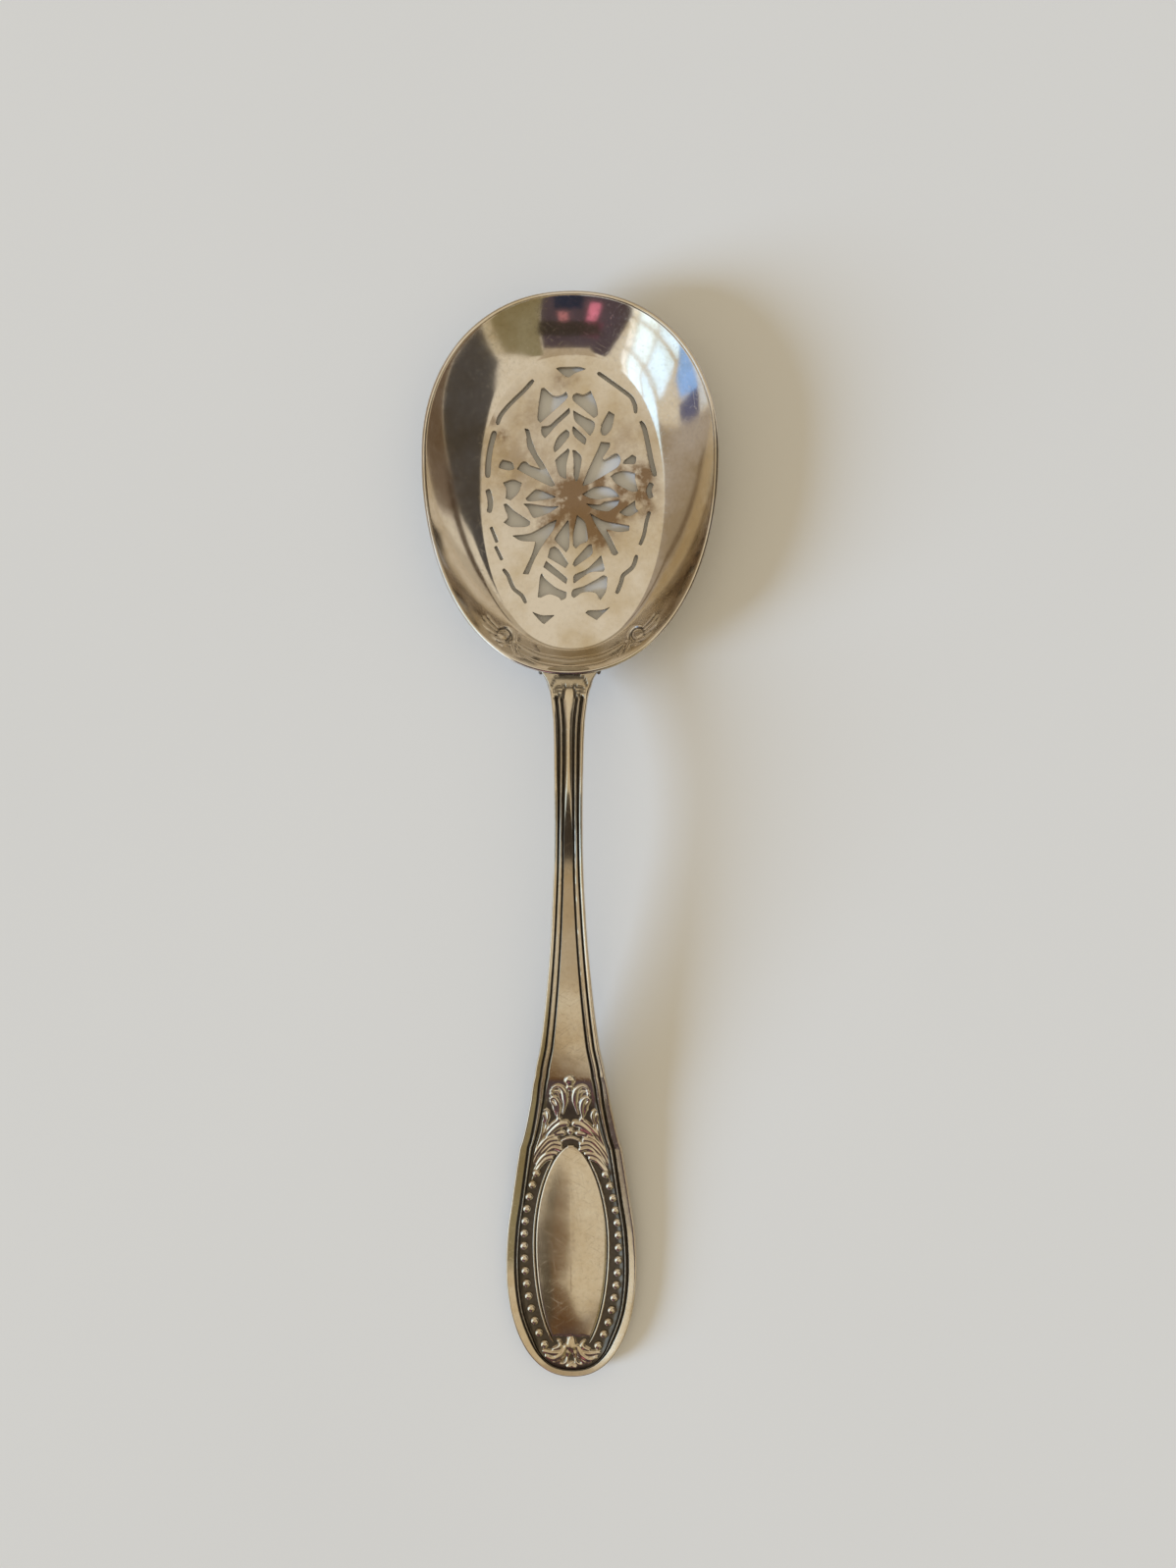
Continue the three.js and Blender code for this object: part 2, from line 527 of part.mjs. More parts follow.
/** A plate with sloping sides: the outline, and the same outline drawn in, at two heights. */
function plateSolid(out, up, slope) {
  const foot = ovalOutline(out);
  const head = ovalOutline(out - slope);
  const lift = (outline, z) => outline.map((point) => new THREE.Vector3(point.x, point.y, z));
  const loops = [lift(foot, -fieldDepth - 0.3), lift(foot, -fieldDepth), lift(head, up)];
  return settled(loftGeometry(loops.map((loop) => loop.reverse()), crossCap), 0);
}

/** The raised frame round the cartouche, and the plain cartouche inside it. */
function cartoucheSolid() {
  const frame = plateSolid(frameWidth, 0, 0.2);
  const moat = plateSolid(0.25, 1, 0);
  const dome = plateSolid(0, cartoucheRise - fieldDepth, 0.5);
  return { frame: frame.subtract(moat), dome };
}

/** Centres of the beads of one side: equal steps down the middle of their channel. */
function beadCentres() {
  const out = frameWidth + beadChannel - beadRadius - 0.1;
  const centres = [];
  let y = alongHandle(beadsFrom);
  const lastY = alongHandle(beadsTo);
  while (y > lastY) {
    centres.push(new THREE.Vector2(ovalHalfWidth(y, out), y));
    const ahead = ovalHalfWidth(y - 0.1, out) - ovalHalfWidth(y, out);
    y -= beadPitch * Math.cos(Math.atan(ahead / 0.1));
  }
  return centres;
}

/** The beads of both sides. */
function beadSolids() {
  return beadCentres().flatMap(({ x, y }) => [-1, 1].map((side) => {
    const bead = new THREE.SphereGeometry(beadRadius, 7, 5).rotateX(Math.PI / 2);
    return settled(bead.translate(side * x, y, 0), -fieldDepth);
  }));
}

/** The space round the joint that lies under a height. */
function jointSpaceUnder(height) {
  const size = 2 * flangeWidth;
  const space = new THREE.BoxGeometry(size, size, size);
  return toSolid(space.translate(0, -bowlHeel, height - size / 2));
}

/** The handle: blank, cartouche, beads and leaves struck from one piece, fitted to the bowl. */
function handleGeometry() {
  const { frame, dome } = cartoucheSolid();
  const leaves = [...crestLobes, ...palmetteLobes].flatMap((lobe) => [lobeSolid(lobe, -1), lobeSolid(lobe, 1)]);
  const middles = [...middleLobes, headBar].map((lobe) => lobeSolid(lobe, 1));
  const whole = joined([blankSolid(), frame, dome, ...beadSolids(), ...leaves, ...middles]);
  const seamPocket = filledBowl(2 * fitGap + seamThickness).intersect(jointSpaceUnder(rimHeight - seamDrop));
  return toGeometry(whole.subtract(filledBowl(fitGap)).subtract(seamPocket));
}

/** The solder in its pocket between the bowl's wall and the flange's end. */
function seamGeometry() {
  const layer = filledBowl(fitGap + seamThickness).subtract(filledBowl(fitGap));
  const pocket = blankSolid().intersect(jointSpaceUnder(rimHeight - seamDrop - fitGap));
  return toGeometry(layer.intersect(pocket));
}

function named(name, geometry, material) {
  const mesh = new THREE.Mesh(geometry, material);
  mesh.name = name;
  return mesh;
}

const spoon = new THREE.Group();
spoon.add(named('bowl', bowlGeometry(), silver));
spoon.add(named('handle', handleGeometry(), struckSilver));
spoon.add(named('solder_seam', seamGeometry(), solder));

export default spoon;
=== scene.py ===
"""Looks of the silver sifter spoon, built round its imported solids.

Lengths inside the classes are millimetres in the row frame: +X right, +Y to the bowl's tip,
+Z up, origin under the middle of the bowl. They become metres when a mesh is made.
"""

from __future__ import annotations

import logging
import math
from collections.abc import Iterable, Sequence
from dataclasses import dataclass
from enum import Enum

import bmesh
import bpy
import numpy as np
from bpy.types import ID, Material, Mesh, Node, NodeSocket, NodeTree, Object
from mathutils import Matrix, Vector
from mathutils.geometry import delaunay_2d_cdt

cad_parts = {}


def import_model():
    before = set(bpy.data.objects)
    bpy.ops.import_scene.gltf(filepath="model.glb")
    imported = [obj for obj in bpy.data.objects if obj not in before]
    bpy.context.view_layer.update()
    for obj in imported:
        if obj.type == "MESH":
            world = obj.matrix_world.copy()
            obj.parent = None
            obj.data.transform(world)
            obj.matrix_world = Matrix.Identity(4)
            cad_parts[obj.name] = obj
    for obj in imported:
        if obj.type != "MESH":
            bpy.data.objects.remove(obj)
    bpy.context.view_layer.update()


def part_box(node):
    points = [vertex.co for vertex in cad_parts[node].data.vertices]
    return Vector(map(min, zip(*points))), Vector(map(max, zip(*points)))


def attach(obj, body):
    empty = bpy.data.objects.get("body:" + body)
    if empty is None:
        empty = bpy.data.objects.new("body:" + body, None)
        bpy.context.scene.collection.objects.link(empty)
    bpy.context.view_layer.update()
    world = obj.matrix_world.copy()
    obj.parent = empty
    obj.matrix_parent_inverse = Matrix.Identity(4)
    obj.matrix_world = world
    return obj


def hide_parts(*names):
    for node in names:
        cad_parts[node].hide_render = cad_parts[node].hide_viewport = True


LOG = logging.getLogger("sifter_spoon")
MM = 0.001
BODY = "root"
RECESS = "recess"
STAIN = "stain"
# Lengths under which a direction and a width count as none, in millimetres
TINY = 1e-9
HAIR = 1e-6
# In metres: vertices nearer than the first are merged, and edges shorter than the second go
MERGE_DISTANCE = 2e-6
COLLAPSED = 1e-7

Array = np.ndarray
Point = tuple[float, float]
Colour = tuple[float, float, float]


class Slot(Enum):
    """Material slots of the record."""

    BOWL = "polished_silver"
    HANDLE = "struck_silver"
    SOLDER = "hard_solder"


# Curves and outlines


def follow(keys: Sequence[Point], place: Array | float) -> Array:
    """Reads a smooth curve through keys, level beyond both ends.

    Args:
        keys: (place, value) pairs in rising order of place.
        place: where the curve is read.

    Returns:
        The curve's values, in the shape of place.
    """
    spots, values = np.array(keys, float).T
    steps = np.diff(spots)
    rates = np.diff(values) / steps
    slopes = np.zeros(len(spots))
    product = rates[:-1] * rates[1:]
    rising = product > 0
    slopes[1:-1][rising] = 2 * product[rising] / (rates[:-1] + rates[1:])[rising]
    at = np.clip(np.asarray(place, float), spots[0], spots[-1])
    i = np.clip(np.searchsorted(spots, at, side="right") - 1, 0, len(steps) - 1)
    t = (at - spots[i]) / steps[i]
    rise = (values[i + 1] - values[i]) * t * t * (3 - 2 * t)
    lead = slopes[i] * steps[i] * t * (1 - t) ** 2
    trail = slopes[i + 1] * steps[i] * t * t * (1 - t)
    return values[i] + rise + lead - trail


def smoothstep(low: float, high: float, value: Array) -> Array:
    """0 below low, 1 above high and smooth between."""
    t = np.clip((value - low) / (high - low), 0, 1)
    return t * t * (3 - 2 * t)


def smooth_path(points: Sequence[Point], step: float, closed: bool, corner: float = 180) -> Array:
    """Draws a smooth line through given points.

    Args:
        points: the points that the line passes.
        step: about how far apart the new points are.
        closed: whether the last point leads back to the first.
        corner: degrees of turn above which a point stays a sharp corner.

    Returns:
        The new points, one row each.
    """
    nodes = np.array(points, float)
    count = len(nodes)
    before = nodes[np.arange(count) - 1]
    after = nodes[(np.arange(count) + 1) % count]
    if not closed:
        before[0] = nodes[0]
        after[-1] = nodes[-1]
    leave, arrive = after - nodes, nodes - before
    turn = np.degrees(np.abs(angle_between(arrive, leave)))
    sharp = turn > corner
    reach = np.minimum(np.linalg.norm(leave, axis=1), np.linalg.norm(arrive, axis=1))
    tangent = unit(after - before) * reach[:, None]
    drawn = []
    for i in range(count if closed else count - 1):
        j = (i + 1) % count
        start, end = nodes[i], nodes[j]
        span = np.linalg.norm(end - start)
        pieces = max(int(round(span / step)), 2)
        t = np.arange(pieces)[:, None] / pieces
        lead = (end - start) if sharp[i] else tangent[i]
        trail = (end - start) if sharp[j] else tangent[j]
        h00, h01 = 2 * t**3 - 3 * t**2 + 1, 3 * t**2 - 2 * t**3
        h10, h11 = t**3 - 2 * t**2 + t, t**3 - t**2
        drawn.append(h00 * start + h10 * lead + h01 * end + h11 * trail)
    if not closed:
        drawn.append(nodes[-1:])
    return np.vstack(drawn)


def angle_between(first: Array, second: Array) -> Array:
    """Signed turn from the first to the second direction of each row, in radians."""
    cross = first[:, 0] * second[:, 1] - first[:, 1] * second[:, 0]
    return np.arctan2(cross, (first * second).sum(1))


def unit(vectors: Array) -> Array:
    """The same directions at length 1, along the last axis."""
    return vectors / np.maximum(np.linalg.norm(vectors, axis=-1, keepdims=True), TINY)


def loop_normals(loop: Array) -> Array:
    """Unit directions out of a closed anticlockwise loop, one for each point."""
    along = unit(np.roll(loop, -1, axis=0) - np.roll(loop, 1, axis=0))
    return np.stack([along[:, 1], -along[:, 0]], axis=1)


def inside(loop: Array, points: Array) -> Array:
    """Whether each point lies inside a closed loop.

    Args:
        loop: the loop's points.
        points: one row of x, y for each place.

    Returns:
        One truth value for each place.
    """
    x, y = points[:, 0][:, None], points[:, 1][:, None]
    ax, ay = loop[:, 0][None], loop[:, 1][None]
    bx, by = np.roll(loop[:, 0], -1)[None], np.roll(loop[:, 1], -1)[None]
    crosses = (ay > y) != (by > y)
    with np.errstate(divide="ignore", invalid="ignore"):
        at = ax + (y - ay) / (by - ay) * (bx - ax)
    return (crosses & (x < at)).sum(1) % 2 == 1


def blurred(field: Array, radius: int) -> Array:
    """Averages a grid of heights over a square, twice.

    Args:
        field: the grid.
        radius: how many cells the square reaches to each side.

    Returns:
        The softer grid.
    """
    result = field
    width = 2 * radius + 1
    for _ in range(2):
        for axis in (0, 1):
            margins = [(radius, radius) if a == axis else (0, 0) for a in (0, 1)]
            padded = np.pad(result, margins, mode="edge")
            size = result.shape[axis]
            total = sum(np.take(padded, range(k, k + size), axis=axis) for k in range(width))
            result = total / width
    return result


# Meshes


def new_object(name: str, data: ID) -> Object:
    """Puts a new object into the scene.

    Args:
        name: its name.
        data: its mesh, light or camera.

    Returns:
        The object, at the origin.
    """
    made = bpy.data.objects.new(name, data)
    bpy.context.scene.collection.objects.link(made)
    return made


def set_mark(mesh: Mesh, mark: str, values: Array) -> None:
    """Gives each vertex of a mesh its value of a mark, which the finishes read."""
    layer = mesh.attributes.new(mark, "FLOAT", "POINT")
    layer.data.foreach_set("value", values.astype(np.float32))


class MeshPiece:
    """Gathers vertices, faces and marks, and makes one Blender object of them."""

    def __init__(self, name: str) -> None:
        """Starts an empty piece of the given name.

        Args:
            name: the piece's name.
        """
        self.name = name
        self.rows: list[Array] = []
        self.faces: list[tuple[int, ...]] = []
        self.marks: dict[str, list[Array]] = {RECESS: [], STAIN: []}
        self.count = 0

    def add(self, points: Array, recess: Array | float = 0.0, stain: Array | float = 0.0) -> Array:
        """Adds vertices.

        Args:
            points: one row of x, y, z in millimetres for each vertex.
            recess: 0 on high places to 1 in recesses.
            stain: 0 for clean metal to 1 for a brown stain.

        Returns:
            The new vertices' numbers.
        """
        self.rows.append(np.asarray(points, float))
        size = len(points)
        self.marks[RECESS].append(np.broadcast_to(recess, size).astype(float))
        self.marks[STAIN].append(np.broadcast_to(stain, size).astype(float))
        self.count += size
        return np.arange(self.count - size, self.count)

    def strip(self, low: Array, high: Array, closed: bool = True) -> None:
        """Joins two rows of vertices with quads that face left of the row's direction.

        Args:
            low: one row's numbers.
            high: the other's, which lies to the left of it.
            closed: whether the rows are rings.
        """
        size = len(low)
        for i in range(size if closed else size - 1):
            j = (i + 1) % size
            self.faces.append((int(low[i]), int(low[j]), int(high[j]), int(high[i])))

    def grid(self, rows: Sequence[Array], closed: bool = False) -> None:
        """Joins each row of vertices with the next, as rings where they are closed."""
        for low, high in zip(rows[:-1], rows[1:]):
            self.strip(low, high, closed)

    def cap(self, loop: Iterable[int]) -> None:
        """Closes a loop with one face."""
        self.faces.append(tuple(int(i) for i in loop))

    def tube(self, rings: Sequence[Array]) -> None:
        """Joins each ring of vertices with the next and closes both ends.

        Args:
            rings: the rings' numbers, in order.
        """
        self.grid(rings, closed=True)
        self.cap(rings[0][::-1])
        self.cap(rings[-1])

    def build(self, material: Material) -> Object:
        """Makes the object, with coinciding vertices merged and smooth shading.

        Args:
            material: the finish.

        Returns:
            The new object, at the origin.
        """
        mesh = bpy.data.meshes.new(self.name)
        mesh.from_pydata((np.vstack(self.rows) * MM).tolist(), [], self.faces)
        for mark, parts in self.marks.items():
            set_mark(mesh, mark, np.concatenate(parts))
        mesh.materials.append(material)
        merge_doubles(mesh)
        mesh.shade_smooth()
        return new_object(self.name, mesh)


def merge_doubles(mesh: Mesh) -> None:
    """Merges vertices in one place, drops collapsed faces and turns the rest outwards.

    Args:
        mesh: the mesh that is mended.
    """
    work = bmesh.new()
    work.from_mesh(mesh)
    bmesh.ops.remove_doubles(work, verts=work.verts, dist=MERGE_DISTANCE)
    bmesh.ops.dissolve_degenerate(work, dist=COLLAPSED, edges=work.edges)
    bmesh.ops.recalc_face_normals(work, faces=work.faces)
    work.to_mesh(mesh)
    work.free()


def keep_piece(piece: Object, slot: Slot, nodes: Sequence[str] = ()) -> Object:
    """Hangs a finished piece on the spoon's one body.

    Args:
        piece: the object, at the origin.
        slot: the record's slot of the piece's finish; not used.
        nodes: solids that it stands for.

    Returns:
        The same object.
    """
    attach(piece, BODY)
    if nodes:
        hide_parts(*nodes)
    LOG.info("%s: %d faces", piece.name, len(piece.data.polygons))
    return piece


# The bowl

# Outlines of the sawn openings, in the bowl's plan
TOP_FAN: list[Point] = [
    (-2.8, 24), (-2, 24.2), (1.2, 24.2), (2.6, 23.8), (0.6, 23.1), (-0.5, 22.4), (-1.5, 22.8)
]

LEFT_OPENINGS: list[list[Point]] = [
    # swallowtail and two chevrons towards the tip
    [(-5.4, 20.5), (-4.9, 20.5), (-3.6, 19.3), (-2.7, 19), (-1.6, 19.3), (-1, 19.8), (-0.7, 18.9),
     (-1.5, 17.9), (-3.8, 15.9), (-5.6, 14.3), (-6.1, 14.8), (-5.9, 17.4)],
    [(-5.4, 13.6), (-4, 13.8), (-2.7, 14.9), (-0.4, 16.9), (-0.4, 15.9), (-2.7, 13.8),
     (-4.8, 11.5), (-5.4, 12.3)],
    [(-1, 13), (-1.9, 12.3), (-2.7, 11.3), (-3.2, 9.9), (-3.1, 8.9), (-2.2, 9.6), (-0.5, 11.7),
     (-0.5, 12.6)],
    # petal and branched spear
    [(-0.6, 9.6), (-2.8, 7.7), (-2.7, 6.5), (-2.2, 4.8), (-1, 4.1), (-1, 6.3), (-0.8, 7.5),
     (-0.4, 9.1)],
    [(-8.5, 13.3), (-7.7, 13), (-7.3, 11.4), (-6.3, 8.8), (-5.1, 6.9), (-3, 3), (-3.8, 2.8),
     (-7.4, 4.6), (-9.9, 6), (-9, 7.2), (-8.3, 7.3), (-7.4, 6.6), (-5.7, 6), (-7.9, 9.8),
     (-8.1, 11.8)],
    # fan, side openings and the pair of eyes
    [(-12.5, 7.7), (-10.8, 7.2), (-10.4, 6), (-11.4, 5.8), (-13.1, 6.2), (-13, 7)],
    [(-12.4, 3.6), (-10.6, 4.1), (-9, 3.5), (-9.7, 1.7), (-11, 0.4), (-11.9, 0.7), (-11.8, 2.3)],
    [(-12.3, -0.3), (-11.7, -0.3), (-10.3, -1.6), (-7.6, -3.4), (-7.6, -4.1), (-8.3, -4.4),
     (-10.8, -4.4), (-12.3, -3.6), (-11.5, -2.6), (-11.9, -1.6)],
    [(-8.3, 0.7), (-6.7, 2.2), (-5.8, 2.2), (-2.8, 0.9), (-3.8, 0.6), (-6.6, 0.2), (-7.9, 0.2)],
    [(-8.7, -0.3), (-7.4, -0.3), (-4.3, -0.8), (-2.3, -0.8), (-4, -1.9), (-6.1, -2.7), (-7, -2.7),
     (-7.9, -1.1)],
    # branched spear and petal towards the heel
    [(-10.7, -6), (-7.5, -5.6), (-4.3, -3.9), (-2.7, -3.2), (-3.4, -5.1), (-5.1, -7.5),
     (-6.7, -10.3), (-7.8, -13), (-8.8, -12.9), (-7.2, -9.5), (-6.5, -7.1), (-9.2, -6.9)],
    [(-0.7, -3.3), (-2.8, -6.1), (-3, -6.9), (-1, -9.1), (-0.5, -8.2), (-0.4, -6.8), (-0.5, -3.8)],
    # two chevrons and a swallowtail towards the heel
    [(-3.9, -8.4), (-3.1, -8), (-2.3, -8.6), (-0.6, -11.1), (-1.1, -11.9), (-4.3, -10)],
    [(-4.6, -10.6), (-0.9, -13.7), (-1, -14.8), (-2.7, -13.5), (-5.1, -11.7)],
    [(-5.4, -12.8), (-4.9, -13.7), (-2.9, -15.4), (-0.9, -16.3), (-1.1, -17.3), (-1.9, -17.7),
     (-2.3, -17.2), (-4, -16.6), (-5.6, -17.2), (-6.1, -17.1), (-5.7, -13.5)],
    [(-7.1, -19.8), (-5.4, -20.4), (-3.1, -20.4), (-5, -22), (-5.8, -21.3)],
]

RIGHT_OPENINGS: list[list[Point]] = [
    [(0.3, 19.2), (0.9, 19.5), (2, 19.2), (2.8, 19.5), (3.4, 19.9), (4.4, 17.6), (4.7, 15.6),
     (4, 15), (2, 16.7), (0.3, 18.2)],
    [(0.3, 16.4), (2.4, 15.2), (4, 14.3), (4, 12.9), (3.3, 11.8), (2, 13.2), (0.6, 14.6)],
    [(0.3, 13.6), (1.5, 12.5), (2.6, 11.3), (2.4, 10.2), (1.2, 11.1), (0.3, 12.2)],
    [(0.2, 9.3), (0.8, 9.1), (1.7, 8.1), (1.7, 6.8), (1.2, 4.2), (0.8, 3.6), (0.5, 4.5),
     (0.5, 6.8)],
    # here the spear is sawn as a slot and a fork
    [(6.7, 16.2), (7.7, 15.6), (7.2, 13.1), (6.2, 11.9), (5.5, 11.9), (5.3, 12.5), (5.6, 14.2)],
    [(5.3, 10.7), (6.9, 10.5), (6.8, 9.7), (5.5, 7.7), (5.9, 7.4), (7.7, 8.5), (8.4, 8.4),
     (8.8, 7.3), (8.1, 6), (3.6, 3.4), (2.1, 2.8), (2.1, 3.4), (3.1, 5.9), (4.7, 9.3)],
    [(9.5, 7.3), (10.9, 8.3), (11.6, 7.9), (11.5, 6.9), (11.1, 6.6), (9.3, 6.7)],
    [(7, 4.5), (7.9, 5.1), (9.6, 5.4), (11.4, 5), (11.4, 3.9), (11.9, 1.8), (10.8, 1.7),
     (8.1, 3.1)],
    [(8.6, -2), (9.6, -1.2), (11.4, 0.1), (11.5, -1.2), (12, -1.8), (10.7, -2.6), (9.6, -2.6)],
    [(1.9, 1.3), (3.9, 2.5), (5.4, 2.7), (6.7, 2.5), (7.7, 1.9), (8.6, 0.8), (6.1, 0.6), (5, 0.4),
     (3.4, 0.6)],
    [(2.6, -0.4), (5, -0.6), (5.9, -0.1), (8.6, 0.2), (8.2, -0.7), (6.8, -1.7), (5.6, -1.7),
     (3.9, -1.3)],
    [(3.3, -2.1), (5.9, -3.5), (10.4, -4.4), (10.3, -5.3), (8.6, -5.5), (6.2, -5), (7.9, -8.4),
     (8.4, -9.3), (7.9, -9.7), (7.3, -9.5), (6.2, -7.1), (4.7, -4.8)],
    [(1, -2.4), (2.4, -3.8), (2.9, -6.5), (2.7, -7.2), (1.5, -7.7), (0.8, -8.4), (0.4, -8),
     (0.3, -5.8)],
    [(3, -7.8), (3.6, -7.7), (3.6, -9.5), (0.6, -11.7), (0.2, -11.3), (0.7, -10.3)],
    [(5.3, -9.7), (5.9, -12.1), (5.6, -12.6), (3.9, -12.6), (2.8, -13), (0.4, -14.7),
     (0.5, -13.2), (2.8, -12.1)],
    [(5.7, -13.3), (6.4, -13.6), (6.2, -16), (5.2, -17.7), (4.2, -16.4), (2.1, -16.3),
     (0.4, -17.3), (0, -16.8), (0.3, -15.8), (2.2, -15.2), (4.5, -14)],
    [(2.5, -20), (3, -19.6), (5.6, -19.5), (6.9, -19), (4.5, -21.3), (3, -20.4)],
]

# Slots of the border: width and middle line
BORDER_SLOTS: list[tuple[float, list[Point]]] = [
    (0.75, [(-6.9, 22), (-8.5, 20.2), (-10.2, 18.6), (-11.8, 17), (-13, 15.4), (-13.4, 14)]),
    (0.95, [(-13.9, 12.9), (-14.6, 10.3), (-15, 7.9), (-15.1, 6.3), (-15.2, 4.5)]),
    (0.9, [(-15.2, 2.4), (-14.8, 0.8), (-14.7, -0.5), (-15, -1.8)]),
    (0.55, [(-14.6, -4.4), (-13.5, -7.2)]),
    (0.55, [(-13.8, -7.9), (-12.6, -10.4)]),
    (0.65, [(-12.4, -12), (-11.5, -13.2), (-10.5, -15.5), (-9, -16.8), (-8.3, -18.2)]),
    (0.7, [(4.7, 23.1), (7.9, 20.8), (10.6, 18.7), (11.4, 17.1), (11.5, 15.7)]),
    (0.8, [(12.4, 14.3), (13.1, 12.9), (13.9, 9.3), (14.4, 6.8), (15, 4.4)]),
    (0.9, [(14.4, 3.2), (13.9, 1.9), (14.3, 0.5)]),
    (0.6, [(14, -1.9), (13.5, -3.6), (13, -6.1), (12.3, -7.9)]),
    (0.7, [(11.7, -9.7), (11, -11.8), (9.3, -13.3), (8.9, -14.6), (8.1, -16.6)]),
]

# Brown stains on the pierced floor: x, y, radius and strength
FLOOR_STAINS: list[tuple[float, float, float, float]] = [
    (0.2, 0.4, 5, 2.1), (0.6, -3.2, 3.6, 1.5), (3.4, -4.4, 3.2, 1.8), (4.8, -7, 2.2, 1.5),
    (6.4, -3, 3.6, 1.6), (9, -1.2, 2.8, 1.7), (9.6, 2.4, 2.4, 1.6), (12.4, 4.6, 2.8, 1.8),
    (12.8, 1.4, 2.8, 1.9), (13.4, -1.4, 2, 1.4), (5, 3.6, 2.8, 1.4), (8.8, 5.6, 2.4, 1),
    (-2.6, -3.2, 3.2, 1.5), (-5, -4, 2.6, 1.1), (-4.6, 1.6, 2.4, 0.9), (-3.6, -7, 2, 0.9),
    (-3.4, 4.6, 2.6, 0.6), (-12.6, 12, 1.4, 1.5), (-14.6, 14.6, 1.3, 1), (-1.8, 21.6, 2.2, 0.8),
    (0.6, 22, 1.5, 0.5), (-9.5, 6.5, 9, 0.5), (-7, 15, 7, 0.4), (-8, -3, 5, 0.3),
    (2.5, 11.5, 4, 0.3), (9.5, 9.5, 7, 0.42), (11.5, 3, 5, 0.3),
]

# How far apart the points along a line of ornament are
STROKE_STEP = 0.25


@dataclass
class Stroke:
    """One raised or cut line of ornament: a tapering half-round strand.

    widths are the half widths at its start, middle and end, which breadth widens. rise is its
    height, which relief lowers. A mirrored one is there a second time, with x turned round.
    """

    line: list[Point]
    widths: tuple[float, float, float]
    rise: float
    mirrored: bool = True
    breadth: float = 1.45
    relief: float = 0.72

    def drawn(self) -> Array:
        """The strand's middle line as closely spaced points.

        Returns:
            One row of two coordinates for each.
        """
        if len(self.line) == 1:
            return np.array(self.line * 2)
        return smooth_path(self.line, STROKE_STEP, closed=False)


def ball(x: float, y: float, radius: float, rise: float, mirrored: bool = True) -> Stroke:
    """A round grain of ornament."""
    return Stroke([(x, y)], (radius,) * 3, rise, mirrored)


def stroke_heights(strokes: Sequence[Stroke], points: Array) -> Array:
    """The height of ornament at each point: the highest strand there, 0 where there is none.

    Args:
        strokes: the strands, in the same plane as the points.
        points: one row of two coordinates for each place.

    Returns:
        One height for each place.
    """
    result = np.zeros(len(points))
    for stroke in strokes:
        line = stroke.drawn()
        for side in (1, -1) if stroke.mirrored else (1,):
            path = line * (side, 1)
            reach = max(stroke.widths) * stroke.breadth
            near = ((points > path.min(0) - reach) & (points < path.max(0) + reach)).all(1)
            if near.any():
                local = strand_height(stroke, path, points[near])
                result[near] = np.maximum(result[near], local)
    return result


def strand_height(stroke: Stroke, path: Array, points: Array) -> Array:
    """Height of one strand over the given points.

    Args:
        stroke: the strand's sizes.
        path: its middle line.
        points: one row of two coordinates for each place.

    Returns:
        One height for each place.
    """
    start, end = path[:-1], path[1:]
    run = end - start
    square = np.maximum((run**2).sum(1), HAIR**2)
    offset = points[:, None] - start[None]
    t = np.clip((offset * run[None]).sum(2) / square, 0, 1)
    distance = np.linalg.norm(offset - t[:, :, None] * run[None], axis=2)
    nearest = distance.argmin(1)
    rows = np.arange(len(points))
    share = (nearest + t[rows, nearest]) / len(run)
    width = follow(list(zip((0, 0.5, 1), stroke.widths)), share)
    ratio = distance[rows, nearest] / np.maximum(width * stroke.breadth, HAIR)
    thick = stroke.rise * stroke.relief * np.sqrt(width / max(stroke.widths))
    return np.where(ratio < 1, thick * np.sqrt(np.maximum(1 - ratio**2, 0)), 0)


# Ribs between the scrolls at the heel, and the scrolls and leaves beside them, seen from above
WALL_CURLS: list[Stroke] = [
    Stroke([(10, -25.5), (5.6, -27.9), (0, -28.8)], (0.3, 0.42, 0.44), 0.34),
    Stroke([(9.5, -27.4), (5.5, -29.5), (0, -30.35)], (0.12, 0.3, 0.34), 0.26),
    Stroke([(10, -25.5), (10.1, -24.4), (10.6, -23.4), (11.5, -22.7), (12.6, -22.8)],
           (0.34, 0.38, 0.22), 0.5),
    ball(12, -24.4, 0.85, 0.55),
    Stroke([(12.9, -23), (14, -21.9), (14.8, -20.6)], (0.26, 0.26, 0.14), 0.36),
    Stroke([(13.2, -23.6), (14.5, -22.4), (15.4, -21)], (0.26, 0.28, 0.14), 0.4),
    Stroke([(13.3, -24.3), (14.8, -23), (15.8, -21.6)], (0.26, 0.26, 0.12), 0.36),
    Stroke([(11.6, -25.8), (12.9, -25.3), (14.2, -24.3)], (0.22, 0.26, 0.12), 0.36),
    Stroke([(10.9, -26.2), (11.6, -26.4), (12.6, -26.1)], (0.2, 0.24, 0.12), 0.32),
    Stroke([(10.6, -25.6), (10.2, -26.8), (9.6, -28)], (0.26, 0.26, 0.12), 0.36),
    Stroke([(10.1, -25.9), (9.2, -27.2), (8.4, -28.7)], (0.22, 0.24, 0.1), 0.3),
]


